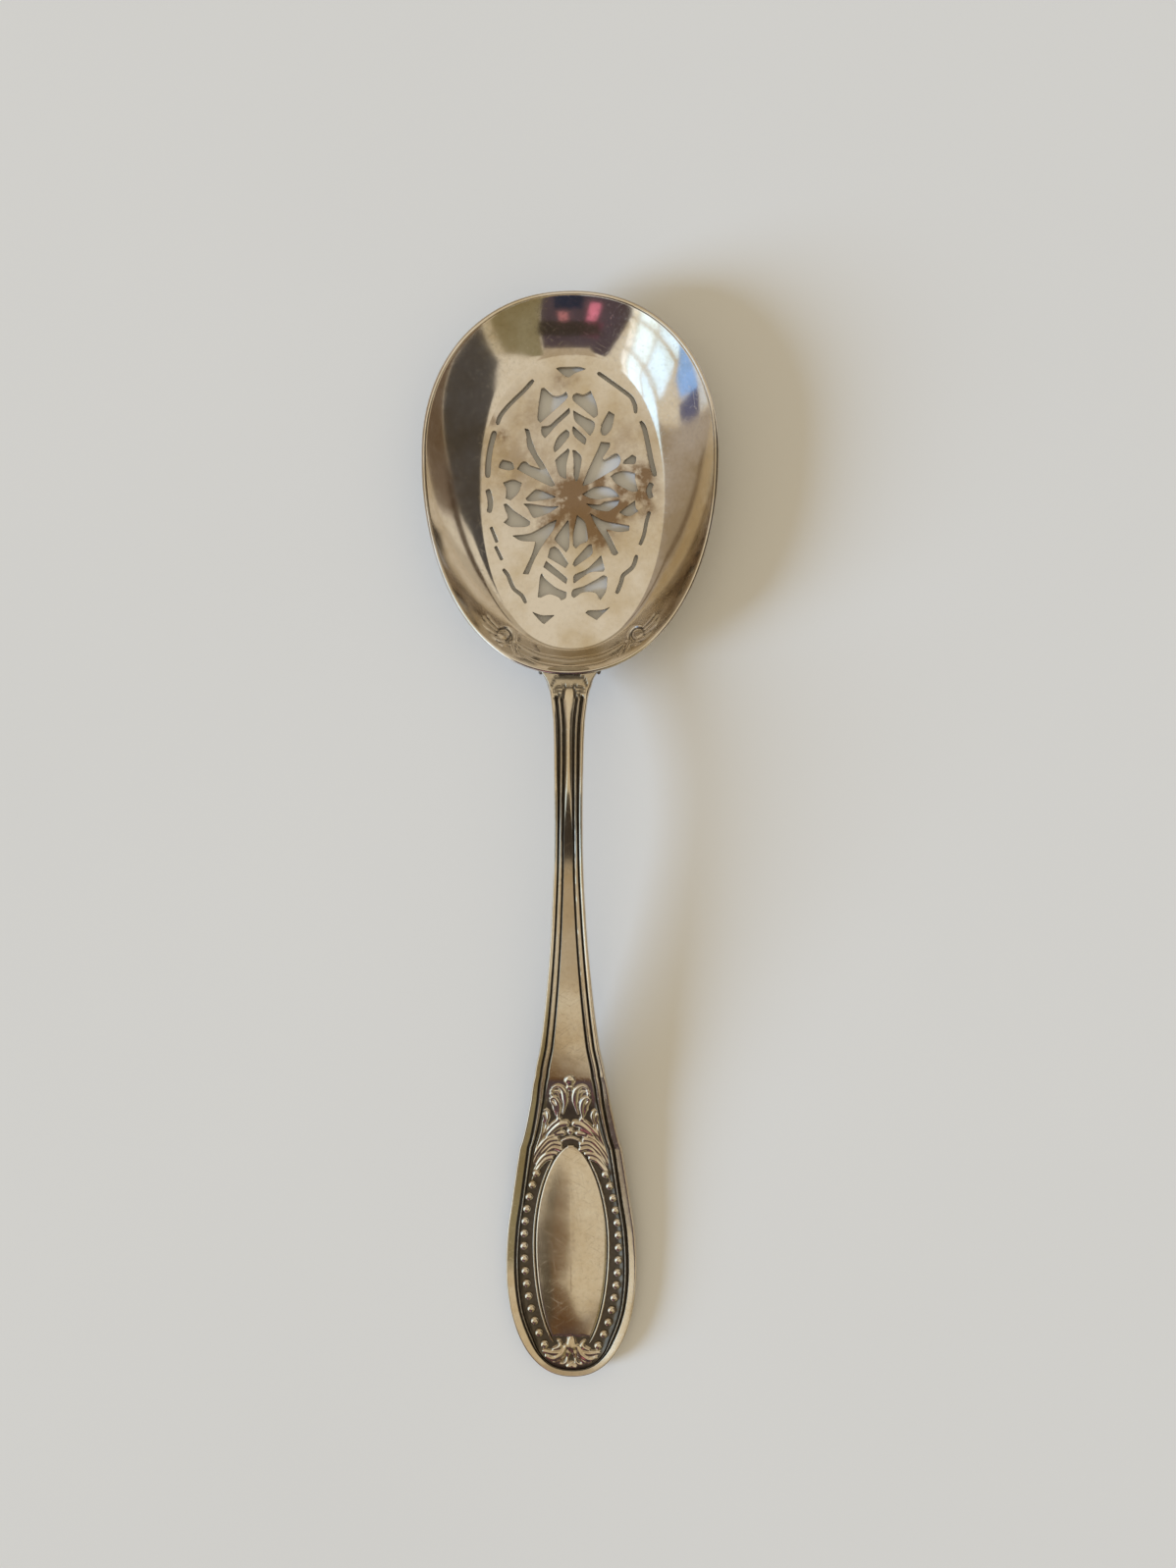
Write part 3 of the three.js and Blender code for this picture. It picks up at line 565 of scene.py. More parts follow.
@dataclass
class Bowl:
    """The raised bowl with its sawn floor.

    A level outline of its outside is an egg of two superellipses. Its blend is 0 at the floor's
    outline and 1 at the rim.
    """

    half_width: float
    tip: float
    heel: float
    rim_height: float
    widest: float = 6.9
    sheet: float = 1.1
    floor_half_width: float = 15.8
    floor_reach: float = 26.2
    floor_tip: float = 24.9
    wall_curve: float = 1.5
    floor_softness: float = 0.06
    egg_power: float = 2.15
    rim_sheet: float = 0.6
    rim_fall: float = 0.26
    lip: float = 0.05
    floor_edge: float = 0.15
    edge_shade: float = 0.15
    lower_edge_shade: float = 0.3
    saw_step: float = 0.16
    saw_corner: float = 62
    around: int = 360
    wall_rings: int = 60
    rim_rings: int = 9
    floor_step: float = 0.6
    floor_span: tuple[float, float, float, float] = (-20, 20, -31, 33)
    curl_rise: float = 1.5
    curl_root: float = 0.12
    curl_sheet: float = 0.35

    # How much further than its solid the tip's curve reaches
    TIP_REACH = 0.4
    # Rows of an opening's lip: how far out of its side and how far below the face they lie
    LIP_ROWS = ((0.3, 0.3), (0.0, 1.0))
    # Where the heel's curls are: degrees round the bowl and blend, each from, to and in steps
    CURLS_AROUND = (-34, -146, 440)
    CURLS_UP = (0.08, 0.93, 90)

    @classmethod
    def from_frame(cls) -> Bowl:
        """The bowl with its outer sizes taken from its solid.

        Returns:
            The bowl.
        """
        low, high = (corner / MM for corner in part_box("bowl"))
        tip = high.y + cls.TIP_REACH
        return cls(half_width=high.x, tip=tip, heel=-low.y, rim_height=high.z)

    def half_sizes(self, blend: Array, out: Array) -> tuple[Array, ...]:
        """Half width, middle, reach to the tip and reach to the heel of a level outline.

        Args:
            blend: which outlines.
            out: how far they are moved outwards.

        Returns:
            The four, in that order.
        """
        middle = self.widest * blend
        half = self.floor_half_width + (self.half_width - self.floor_half_width) * blend + out
        tip = self.floor_tip + (self.tip - self.floor_tip) * blend - middle + out
        heel = self.floor_reach + (self.heel - self.floor_reach) * blend + middle + out
        return half, middle, tip, heel

    def rise(self, blend: Array | float) -> Array:
        """Height of the outside at a blend: it leaves the floor softly and reaches the rim at 1.

        Args:
            blend: 0 at the floor to 1 at the rim.

        Returns:
            The heights.
        """
        soft = self.floor_softness
        eased = (np.hypot(blend, soft) - soft) / (math.hypot(1, soft) - soft)
        return self.rim_height * eased**self.wall_curve

    def blend_at(self, height: Array | float) -> Array:
        """The blend at which the outside has a height: rise the other way round.

        Args:
            height: heights over the table.

        Returns:
            The blends.
        """
        soft = self.floor_softness
        eased = (np.asarray(height, float) / self.rim_height) ** (1 / self.wall_curve)
        reach = eased * (math.hypot(1, soft) - soft) + soft
        return np.sqrt(np.maximum(reach**2 - soft**2, 0))

    def steepness(self, blend: Array) -> Array:
        """The wall's angle from level.

        Args:
            blend: where it is wanted.

        Returns:
            The angles in radians.
        """
        step = 1e-4
        climb = self.rise(blend + step) - self.rise(np.maximum(blend - step, 0))
        slope = climb / (step + np.minimum(blend, step))
        return np.arctan(slope / (self.half_width - self.floor_half_width))

    def wall(self, blend: Array | float, distance: float, angle: Array) -> Array:
        """Points of the wall.

        Args:
            blend: how far up the wall.
            distance: how far outside it. The inside is at minus the sheet.
            angle: radians round the bowl, from +X towards the tip.

        Returns:
            One row of x, y, z for each angle.
        """
        blend = np.broadcast_to(np.asarray(blend, float), angle.shape)
        steep = self.steepness(blend)
        half, middle, tip, heel = self.half_sizes(blend, distance * np.sin(steep))
        cos, sin = np.cos(angle), np.sin(angle)
        x = np.sign(cos) * half * np.abs(cos) ** (2 / self.egg_power)
        y = np.sign(sin) * np.where(sin > 0, tip, heel) * np.abs(sin) ** (2 / self.egg_power)
        z = self.rise(blend) - distance * np.cos(steep)
        return np.stack([x, middle + y, z], axis=-1)

    def gauge(self, blend: Array | float) -> Array:
        """Thickness of the sheet, thinner towards the rim."""
        thinned = smoothstep(0.3, 1, np.asarray(blend, float))
        return self.sheet - (self.sheet - self.rim_sheet) * thinned

    def inner(self, blend: float, angle: Array) -> Array:
        """Points of the wall's inside."""
        return self.wall(blend, -float(self.gauge(blend)), angle)

    def height_at(self, points: Array, distance: float) -> Array:
        """Height of the inside or outside surface over each x, y, by halving.

        Args:
            points: one row of x, y for each place.
            distance: how far outside the wall. The inside is at minus the sheet.

        Returns:
            One height for each place.
        """
        low, high = np.zeros(len(points)), np.ones(len(points))
        x, y = points[:, 0], points[:, 1]
        power, halvings = self.egg_power, 30
        for _ in range(halvings):
            blend = (low + high) / 2
            out = distance * np.sin(self.steepness(blend))
            half, middle, tip, heel = self.half_sizes(blend, out)
            reach = np.where(y > middle, tip, heel)
            ratio = np.abs(x / half) ** power + np.abs((y - middle) / reach) ** power
            low = np.where(ratio > 1, blend, low)
            high = np.where(ratio > 1, high, blend)
        blend = np.where(low > 0, high, 0)
        return self.rise(blend) - distance * np.cos(self.steepness(blend))

    def openings(self) -> list[Array]:
        """The smooth outlines of all sawn openings.

        Returns:
            The loops, each anticlockwise.
        """
        loops = [
            smooth_path(outline, self.saw_step, closed=True, corner=self.saw_corner)
            for outline in [TOP_FAN, *LEFT_OPENINGS, *RIGHT_OPENINGS]
        ]
        loops += [self.slot_outline(width, line) for width, line in BORDER_SLOTS]
        turned = []
        for loop in loops:
            x, y = loop.T
            area = (x * np.roll(y, -1) - y * np.roll(x, -1)).sum()
            turned.append(loop if area > 0 else loop[::-1])
        return turned

    @staticmethod
    def slot_outline(width: float, line: list[Point]) -> Array:
        """A saw slot: the line widened to both sides, narrower at its ends.

        Args:
            width: the slot's width.
            line: its middle line.

        Returns:
            The loop.
        """
        step, blunt, widening = 0.3, 0.12, 9
        path = smooth_path(line, step, closed=False)
        along = unit(np.gradient(path, axis=0))
        side = np.stack([-along[:, 1], along[:, 0]], axis=1)
        share = np.linspace(0, 1, len(path))
        full = np.clip(np.minimum(share, 1 - share) * widening + blunt, 0, 1)
        half = width / 2 * np.sqrt(full)
        return np.vstack([path + side * half[:, None], (path - side * half[:, None])[::-1]])

    def floor_plan(self, rim: Array, lips: list[Array], rings: list[Array]) -> tuple[Array, Array]:
        """Divides the floor round its openings into triangles.

        Args:
            rim: the outer edge of the floor plan.
            lips: outlines of the openings.
            rings: more outlines inside the rim, along which the floor turns up.

        Returns:
            The plan's points, rim and lips first, and its triangles.
        """
        loops = [rim, *lips]
        step, row_share, clear_square = self.floor_step, 0.87, 0.02
        left, right, near, far = self.floor_span
        grid_x, grid_y = np.meshgrid(
            np.arange(left, right, step), np.arange(near, far, step * row_share)
        )
        grid_x[::2] += step / 2
        fill = np.stack([grid_x.ravel(), grid_y.ravel()], axis=1)
        fill = np.vstack([fill[inside(rings[0], fill)], *rings])
        edge_points = np.vstack(loops)
        squares = np.array([np.min(((edge_points - p) ** 2).sum(1)) for p in fill])
        fill = fill[squares > clear_square]
        for lip in lips:
            fill = fill[~inside(lip, fill)]
        points = np.vstack([edge_points, fill])
        edges, base = [], 0
        for loop in loops:
            edges += [(base + i, base + (i + 1) % len(loop)) for i in range(len(loop))]
            base += len(loop)
        vectors = [Vector(p) for p in points.tolist()]
        made, _, faces, *_ = delaunay_2d_cdt(vectors, edges, [], 0, HAIR)
        plan = np.array([tuple(v) for v in made])
        triangles = np.array([f for f in faces if len(f) == 3])
        middle = plan[triangles].mean(1)
        keep = inside(rim, middle)
        for lip in lips:
            keep &= ~inside(lip, middle)
        return plan, triangles[keep]

    @staticmethod
    def stain_at(points: Array) -> Array:
        """How brown the floor is.

        Args:
            points: one row of x, y for each place.

        Returns:
            One mark for each place, 0 where it is clean.
        """
        fade = 1.4
        stain = np.zeros(len(points))
        for x, y, radius, strength in FLOOR_STAINS:
            distance = ((points[:, 0] - x) ** 2 + (points[:, 1] - y) ** 2) / radius**2
            stain = np.maximum(stain, strength * np.exp(-distance * fade))
        return stain

    def build(self, material: Material) -> Object:
        """Makes the bowl's mesh: pierced floor, wall inside and out, and rounded rim.

        Args:
            material: the finish.

        Returns:
            The piece.
        """
        piece = MeshPiece("bowl_silver")
        angle = np.linspace(0, 2 * np.pi, self.around, endpoint=False)
        edge = self.inner(self.floor_edge, angle)
        openings = self.openings()
        lips = [loop + self.lip * loop_normals(loop) for loop in openings]
        turned_up = np.linspace(0.01, self.floor_edge, 9)[:-1]
        rings = [self.inner(blend, angle)[:, :2] for blend in turned_up]
        plan, triangles = self.floor_plan(edge[:, :2], lips, rings)
        stain = self.stain_at(plan)
        top = piece.add(np.column_stack([plan, self.height_at(plan, -self.sheet)]), 0, stain)
        bottom = piece.add(np.column_stack([plan, self.height_at(plan, 0.0)]), 0, stain * 0.5)
        piece.faces += [tuple(int(i) for i in top[t]) for t in triangles]
        piece.faces += [tuple(int(i) for i in bottom[t][::-1]) for t in triangles]
        self.add_saw_walls(piece, openings, top, bottom, plan)
        self.add_wall(piece, angle, top[: self.around], bottom[: self.around])
        return piece.build(material)

    def add_saw_walls(
        self, piece: MeshPiece, openings: list[Array], top: Array,
        bottom: Array, plan: Array,
    ) -> None:
        """Closes each opening with its sawn side and two softly rounded lips.

        Args:
            piece: the bowl.
            openings: the openings' loops.
            top: numbers of the floor's upper vertices.
            bottom: numbers of its lower vertices.
            plan: their x, y, the rim's first and then each opening's.
        """
        base = self.around
        for loop in openings:
            size = len(loop)
            numbers = np.arange(base, base + size)
            base += size
            normals = loop_normals(loop)
            high = self.height_at(plan[numbers], -self.sheet)
            low = self.height_at(plan[numbers], 0.0)
            rows = [top[numbers]]
            for share, drop in self.LIP_ROWS:
                spots = loop + normals * self.lip * share
                row = np.column_stack([spots, high - self.lip * drop])
                rows.append(piece.add(row, self.edge_shade, self.stain_at(spots)))
            for share, lift in self.LIP_ROWS[::-1]:
                spots = loop + normals * self.lip * share
                row = np.column_stack([spots, low + self.lip * lift])
                rows.append(piece.add(row, self.lower_edge_shade))
            rows.append(bottom[numbers])
            for first, second in zip(rows[:-1], rows[1:]):
                piece.strip(second[::-1], first[::-1])

    def add_wall(self, piece: MeshPiece, angle: Array, top: Array, bottom: Array) -> None:
        """Adds the wall's inside, the half-round rim and the wall's outside.

        Args:
            piece: the bowl.
            angle: radians round the bowl at each vertex of a ring.
            top: numbers of the floor's upper edge.
            bottom: numbers of its lower edge.
        """
        crowding, gap = 1.3, 0.02
        steep = float(self.steepness(np.array(1.0)))
        radius = self.rim_sheet / 2
        rim_z = self.rim_height - radius
        blend_in = float(self.blend_at(rim_z - self.rim_sheet * math.cos(steep)))
        blend_out = float(self.blend_at(rim_z - self.rim_fall))
        rows = [top]
        for share in np.linspace(0, 1, self.wall_rings + 1)[1:]:
            blend = self.floor_edge + (blend_in - self.floor_edge) * share**crowding
            rows.append(piece.add(self.inner(blend, angle)))
        inner = self.inner(blend_in, angle)
        outer = self.wall(float(self.blend_at(rim_z)), 0.0, angle)
        inner[:, 2] = rim_z
        outer[:, 2] = rim_z - self.rim_fall
        for turn in np.linspace(0, np.pi, self.rim_rings)[1:-1]:
            across = (1 - math.cos(turn)) / 2
            ring = inner + (outer - inner) * across
            ring[:, 2] = rim_z + radius * math.sin(turn) - self.rim_fall * across
            rows.append(piece.add(ring))
        for blend in np.linspace(blend_out, self.floor_edge + gap, self.wall_rings // 2):
            rows.append(piece.add(self.wall(blend, 0.0, angle)))
        rows.append(bottom)
        piece.grid(rows, closed=True)

    def build_curls(self, material: Material) -> Object:
        """Makes the curls and the rib that are struck into the wall at the heel.

        Args:
            material: the finish.

        Returns:
            The piece.
        """
        piece = MeshPiece("bowl_heel_curls")
        angle = np.radians(np.linspace(*self.CURLS_AROUND))
        base = np.array([self.inner(blend, angle) for blend in np.linspace(*self.CURLS_UP)])
        heights = stroke_heights(WALL_CURLS, base[:, :, :2].reshape(-1, 2))
        heights = blurred(heights.reshape(base.shape[:2]), 1) * self.curl_rise
        normal = unit(np.cross(np.gradient(base, axis=1), np.gradient(base, axis=0)))
        raised = base + normal * (heights - self.curl_root)[:, :, None]
        spread, darkening = 4, 12
        recess = np.clip((blurred(heights, spread) - heights) * darkening, 0, 1)
        add_relief(piece, raised, -normal * self.curl_sheet, recess)
        return piece.build(material)


def add_relief(piece: MeshPiece, face: Array, down: Array, recess: Array) -> None:
    """Adds a grid of raised ornament, closed underneath.

    Args:
        piece: where it is added.
        face: the grid of points, rows then columns, facing its rows' left.
        down: how far each point of the underside lies from the face.
        recess: the face's mark for recesses.
    """
    shape = face.shape[:2]
    upper = piece.add(face.reshape(-1, 3), recess.ravel()).reshape(shape)
    lower = piece.add((face + down).reshape(-1, 3), 1).reshape(shape)
    piece.grid(upper)
    piece.grid(lower[:, ::-1])
    for side in (np.s_[0, :], np.s_[:, -1], np.s_[-1, ::-1], np.s_[::-1, 0]):
        piece.strip(lower[side], upper[side], closed=False)


# The handle


@dataclass
class HandleForm:
    """Shape of the handle before its ornament.

    A place counts along it: 0 to 1 is the stem, then crest, cartouche and palmette count 1 each.
    The curves give shares or millimetres at places.
    """

    heel: float
    end: float
    half_width: float
    arch: float
    rim_height: float
    crest: float = 13.3
    cartouche: float = 34.8
    palmette: float = 7.1
    flange_width: float = 10.4
    neck_width: float = 4.9
    end_power: float = 2.25
    rim_lip: float = 0.55
    flange_depth: float = 4.6
    neck_thickness: float = 3.2
    end_thickness: float = 2.4
    widest_place: float = 2.61
    fan_place: float = 2.87
    flat_place: float = 2.35
    field_depth: float = 0.55
    groove_depth: float = 0.42
    hidden: float = 0.01

    # How far under its solid's top the arch stays, and the place of its highest point
    ARCH_SPARE = 0.02
    SUMMIT = 0.39
    FLARE = [(0, 1), (0.02, 0.56), (0.045, 0.33), (0.08, 0.2), (0.12, 0.1), (0.2, 0.03), (0.33, 0)]
    SWELL = [(0.33, 0), (0.45, 0.008), (0.6, 0.058), (0.76, 0.152), (0.92, 0.292), (1, 0.404),
             (1.4, 0.509), (1.9, 0.666), (2.12, 0.787), (2.29, 0.883), (2.45, 0.968), (2.61, 1)]
    RISE = [(0, 0), (0.1, 0.38), (0.2, 0.7), (0.3, 0.93), (SUMMIT, 1)]
    FALL = [(SUMMIT, 1), (0.5, 0.975), (0.6, 0.9), (0.72, 0.79), (0.86, 0.63), (1, 0.46),
            (1.5, 0.33), (2, 0.21), (2.35, 0.08), (2.7, 0.015), (4, 0)]
    BELLY = [(-0.1, 1), (0.02, 0.85), (0.08, 0.3), (0.16, 0)]
    BAND = [(0.05, 0.72), (0.12, 0.72), (0.2, 0.64), (0.35, 0.6), (0.6, 0.66), (1, 0.92),
            (1.5, 1.2), (2, 1.42), (2.3, 1.57), (3.1, 1.5), (3.6, 1.25), (4, 1.05)]
    GROOVE = [(0.05, 0.5), (0.17, 0.5), (0.3, 0.42), (0.45, 0.3), (0.8, 0.32), (1, 0.38),
              (3.1, 0.4), (4, 0.2)]
    REED = [(0.05, 0.42), (0.17, 0.36), (0.3, 0.38), (0.45, 0.52), (0.8, 0.7), (1, 0.7),
            (1.5, 0.58), (2, 0.35), (2.3, 0.22), (3.1, 0.22), (3.8, 0.06)]
    STRUCK = [(0.045, 0), (0.06, 1)]
    SUNK = [(1.0, 0), (1.2, 0.3), (1.6, 1)]

    @classmethod
    def from_frame(cls, bowl: Bowl) -> HandleForm:
        """The handle with its outer sizes taken from its solid.

        Args:
            bowl: the bowl that it joins.

        Returns:
            The handle's form.
        """
        low, high = (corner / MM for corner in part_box("handle"))
        return cls(
            heel=bowl.heel, end=-low.y, half_width=high.x, arch=high.z - cls.ARCH_SPARE,
            rim_height=bowl.rim_height,
        )

    @property
    def stretches(self) -> Array:
        """Lengths of stem, crest, cartouche and palmette."""
        stem = self.end - self.heel - self.crest - self.cartouche - self.palmette
        return np.array([stem, self.crest, self.cartouche, self.palmette])

    def along(self, place: Array | float) -> Array:
        """Finds the Y of places.

        Args:
            place: the places, also below 0.

        Returns:
            One Y for each.
        """
        place = np.asarray(place, float)
        lengths = self.stretches
        before = np.minimum(place, 0) * lengths[0]
        spent = sum(length * np.clip(place - i, 0, 1) for i, length in enumerate(lengths))
        return -self.heel - before - spent

    def place_of(self, y: Array | float) -> Array:
        """Finds the place of Ys: along() the other way round.

        Args:
            y: the Ys.

        Returns:
            One place for each.
        """
        marks = np.concatenate([[0], np.cumsum(self.stretches)])
        rest = -self.heel - np.asarray(y, float)
        counted = np.interp(rest, marks, np.arange(5.0))
        return np.where(rest < 0, rest / self.stretches[0], counted)

    def half_at(self, place: Array) -> Array:
        """Half the handle's width before its widest place.

        Args:
            place: places up to the widest.

        Returns:
            Half the width at each.
        """
        flared = (self.flange_width - self.neck_width) * follow(self.FLARE, place)
        swollen = (2 * self.half_width - self.neck_width) * follow(self.SWELL, place)
        return (self.neck_width + flared + swollen) / 2

    def top(self, y: Array) -> Array:
        """Height of the face.

        Args:
            y: where it is wanted.

        Returns:
            One height for each Y.
        """
        place = self.place_of(y)
        joint = self.rim_height - self.rim_lip
        rising = joint + (self.arch - joint) * follow(self.RISE, place)
        fall = [(-float(self.heel + self.along(spot)), share) for spot, share in self.FALL]
        share = follow(fall, -self.heel - np.asarray(y, float))
        falling = self.end_thickness + (self.arch - self.end_thickness) * share
        return np.where(place < self.SUMMIT, rising, falling)

    def thickness(self, y: Array) -> Array:
        """Thickness of the handle.

        Args:
            y: where it is wanted.

        Returns:
            One thickness for each Y.
        """
        place = self.place_of(y)
        thinning = np.minimum(place / self.flat_place, 1)
        plain = self.neck_thickness + (self.end_thickness - self.neck_thickness) * thinning
        return plain + (self.flange_depth - plain) * follow(self.BELLY, place)

    def sunk(self, y: Array) -> Array:
        """How far the field inside the border lies below the face at a Y."""
        return self.field_depth * follow(self.SUNK, self.place_of(y))

    def strips(self, place: Array | float) -> tuple[Array, ...]:
        """Widths of the border's band, of each of its two grooves and of its reed."""
        return tuple(follow(keys, place) for keys in (self.BAND, self.GROOVE, self.REED))

    def spine(self, edge: Array) -> Array:
        """The point of the middle line that lies across from each point of the edge."""
        middle_y = np.maximum(edge[:, 1], float(self.along(self.fan_place)))
        return np.stack([np.zeros(len(edge)), middle_y], axis=1)

    def field_half(self, y: Array) -> Array:
        """Half width of the field inside the border.

        Args:
            y: where it is wanted.

        Returns:
            One half width for each Y.
        """
        edge = self.edge(300, 120)
        inward = self.spine(edge) - edge
        reach = np.maximum(np.linalg.norm(inward, axis=1), TINY)
        band, groove, reed = self.strips(self.place_of(edge[:, 1]))
        share = np.minimum((band + 2 * groove + reed) / reach, 1)
        field = edge + inward * share[:, None]
        return np.interp(y, field[::-1, 1], field[::-1, 0])

    def edge(self, stem_steps: int, fan_steps: int) -> Array:
        """Right-hand edge from the flange to the end.

        Args:
            stem_steps: how many points it has before its widest place.
            fan_steps: how many steps after it.

        Returns:
            One row of x, y for each point.
        """
        crowding = 1.12
        share = np.linspace(0, 1, stem_steps, endpoint=False)
        place = -self.hidden + (self.widest_place + self.hidden) * share**crowding
        side = np.stack([self.half_at(place), self.along(place)], axis=1)
        widest_y = float(self.along(self.widest_place))
        turn = np.linspace(0, np.pi / 2, fan_steps + 1)
        x = self.half_width * np.cos(turn) ** (2 / self.end_power)
        x[-1] = 0
        y = widest_y - (widest_y + self.end) * np.sin(turn) ** (2 / self.end_power)
        return np.vstack([side, np.stack([x, y], axis=1)])


# Lines struck into the flange above the reeds: x, and millimetres from the bowl's heel
FLANGE_LINES: list[Stroke] = [
    Stroke([(-3.05, 1.9), (-2.5, 1.1), (0, 0.75), (2.5, 1.1), (3.05, 1.9)], (0.12, 0.24, 0.12),
            0.4, False),
    Stroke([(2.75, 2.3), (1.5, 2.1), (0.75, 1.75)], (0.1, 0.17, 0.12), 0.35),
    Stroke([(2.75, 2.9), (1.3, 2.75)], (0.1, 0.15, 0.1), 0.3),
    Stroke([(1.35, 3.1), (1.75, 3.4), (2.2, 3.95)], (0.1, 0.2, 0.22), 0.35),
    Stroke([(1.1, 3.9), (0.95, 2.6), (0.6, 2.15), (0, 2)], (0.2, 0.18, 0.14), 0.35),
]


@dataclass
class Handle:
    """The struck handle: its reeded body and, on its face, leaves, frame, cartouche and beads."""

    form: HandleForm
    bowl: Bowl
    stem_steps: int = 460
    fan_steps: int = 110
    back_steps: int = 10
    bevel: float = 0.42
    bevel_row: float = 0.35
    band_flat: float = 0.12
    band_lean: float = 0.36
    reed_crown: float = 0.12
    stem_crown: float = 0.2
    lines_end: float = 4.6

    def rows_of(self, place: Array, reach: Array) -> Array:
        """Distances from the edge at which each section has points.

        Args:
            place: the sections' places.
            reach: their distances from edge to middle.

        Returns:
            One row for each section, from edge to middle.
        """
        band, groove, reed = self.form.strips(place)
        marks = [
            np.zeros_like(band), np.full_like(band, self.bevel_row), band, band + groove,
            band + groove + reed, band + 2 * groove + reed, reach,
        ]
        counts = (6, 5, 7, 7, 7, 12)
        rows = []
        for start, end, count in zip(marks[:-1], marks[1:], counts):
            rows += [start + (end - start) * k / count for k in range(count)]
        shaped = np.stack([*rows, reach], axis=1)
        even = reach[:, None] * np.linspace(0, 1, shaped.shape[1])[None] ** 0.9
        weight = smoothstep(0.03, 0.08, place)[:, None]
        return np.minimum(even + (shaped - even) * weight, reach[:, None])

    def relief(self, distance: Array, place: Array) -> tuple[Array, Array]:
        """Rise of the face over its plain height.

        Args:
            distance: distances from the edge, one row for each section.
            place: the sections' places.

        Returns:
            The rise and the mark for recesses.
        """
        form = self.form
        band, groove, reed = (width[:, None] for width in form.strips(place))
        struck = follow(form.STRUCK, place)[:, None]
        sunk = follow(form.SUNK, place)[:, None] * form.field_depth
        inward = np.clip(distance / self.bevel, 0, 1)
        rise = -self.bevel * (1 - np.sqrt(1 - (1 - inward) ** 2))
        reed_start = band + groove
        field_start = reed_start + reed + groove
        valley, shaded = np.zeros_like(rise), np.zeros_like(rise)
        for middle in (band + groove / 2, field_start - groove / 2):
            ratio = np.abs(distance - middle) / (groove / 2)
            valley = np.maximum(valley, (1 - np.clip(ratio, 0, 1) ** 2) ** 1.5)
            shaded = np.maximum(shaded, 1 - smoothstep(0.75, 1.9, ratio))
        leaning = self.band_lean * np.clip(np.minimum(distance, band) - self.band_flat, 0, None)
        leaning = leaning * (1 - np.clip((distance - band) / np.maximum(groove, HAIR), 0, 1))
        rounded = leaning + self.round_off(distance, reed_start, reed, self.reed_crown)
        slim = 1 - smoothstep(0.2, 0.5, place)[:, None]
        ridge = np.maximum(distance.max(1, keepdims=True) - field_start, HAIR)
        crown = np.clip(1 - (distance - field_start) / ridge, 0, 1) ** 2
        rounded = rounded + slim * self.stem_crown * crown * (distance > field_start)
        field = smoothstep(0, 1, (distance - field_start + 0.3 * groove) / 0.25)
        low = np.maximum(form.groove_depth * struck * valley, sunk * field)
        sunken = field * smoothstep(0.25, 0.9, sunk / form.field_depth)
        recess = np.clip(np.maximum(shaded * struck, sunken), 0, 1)
        return rise - struck * rounded - low, recess

    @staticmethod
    def round_off(distance: Array, start: Array, width: Array, depth: float) -> Array:
        """How far a rounded strip of the given start and width lies below its own crown."""
        across = (distance - start) / np.maximum(width, HAIR)
        return np.where((across > 0) & (across < 1), depth * (2 * across - 1) ** 2, 0)

    def face_points(self, edge: Array, side: int) -> tuple[Array, Array]:
        """The face of one side as a grid.

        Args:
            edge: the right-hand edge.
            side: 1 for the right and -1 for the left.

        Returns:
            The points, section by section from edge to middle, and their mark for recesses.
        """
        form = self.form
        middle = form.spine(edge)
        reach = np.linalg.norm(edge - middle, axis=1)
        place = form.place_of(edge[:, 1])
        distance = self.rows_of(place, reach)
        share = distance / np.maximum(reach, TINY)[:, None]
        flat = edge[:, None] + (middle - edge)[:, None] * share[:, :, None]
        x, y = flat[:, :, 0] * side, flat[:, :, 1]
        rise, recess = self.relief(distance, place)
        near = np.stack([x, -form.heel - y], axis=2)
        cut = stroke_heights(FLANGE_LINES, near.reshape(-1, 2)).reshape(rise.shape)
        cut = np.where(near[:, :, 1] < self.lines_end, cut, 0)
        # Darker towards the bowl's heel: the mark fades out between 1.6 and 3.4 mm from it.
        haze = 0.3 * (1 - smoothstep(1.6, 3.4, near[:, :, 1]))
        recess = np.maximum(recess, np.clip(np.maximum(cut * 5, haze), 0, 1))
        return np.dstack([x, y, form.top(y) + (rise - cut)]), recess

    def back_points(self, edge: Array, side: int) -> Array:
        """The plain rounded back of one side as a grid.

        Args:
            edge: the right-hand edge.
            side: 1 for the right and -1 for the left.

        Returns:
            The points, section by section from edge to middle.
        """
        form = self.form
        turn = np.linspace(0, np.pi / 2, self.back_steps)
        share = 1 - np.cos(turn)
        flat = edge[:, None] + (form.spine(edge) - edge)[:, None] * share[None, :, None]
        depth = form.thickness(flat[:, :, 1])
        drop = depth * (0.5 + 0.5 * np.sin(turn)[None] ** 0.8)
        return np.dstack([flat[:, :, 0] * side, flat[:, :, 1], form.top(flat[:, :, 1]) - drop])

    def seated(self, points: Array) -> Array:
        """Bends the flange's end to the middle of the bowl's wall.

        Args:
            points: points of the handle.

        Returns:
            The same points, those of the flange moved along Y.
        """
        form, bowl = self.form, self.bowl
        moved = points.copy()
        sheet_share = 0.45
        z = np.clip(points[..., 2], 0.5, bowl.rim_height - 0.3)
        blend = bowl.blend_at(z)
        within = np.full_like(blend, -bowl.sheet * sheet_share)
        half, middle, _, heel = bowl.half_sizes(blend, within)
        across = np.clip(np.abs(points[..., 0] / half), 0, 0.95) ** bowl.egg_power
        wall_y = middle - heel * (1 - across) ** (1 / bowl.egg_power)
        weight = 1 - smoothstep(-0.012, 0.03, form.place_of(points[..., 1]))
        moved[..., 1] = points[..., 1] + (wall_y - points[..., 1]) * weight
        return moved

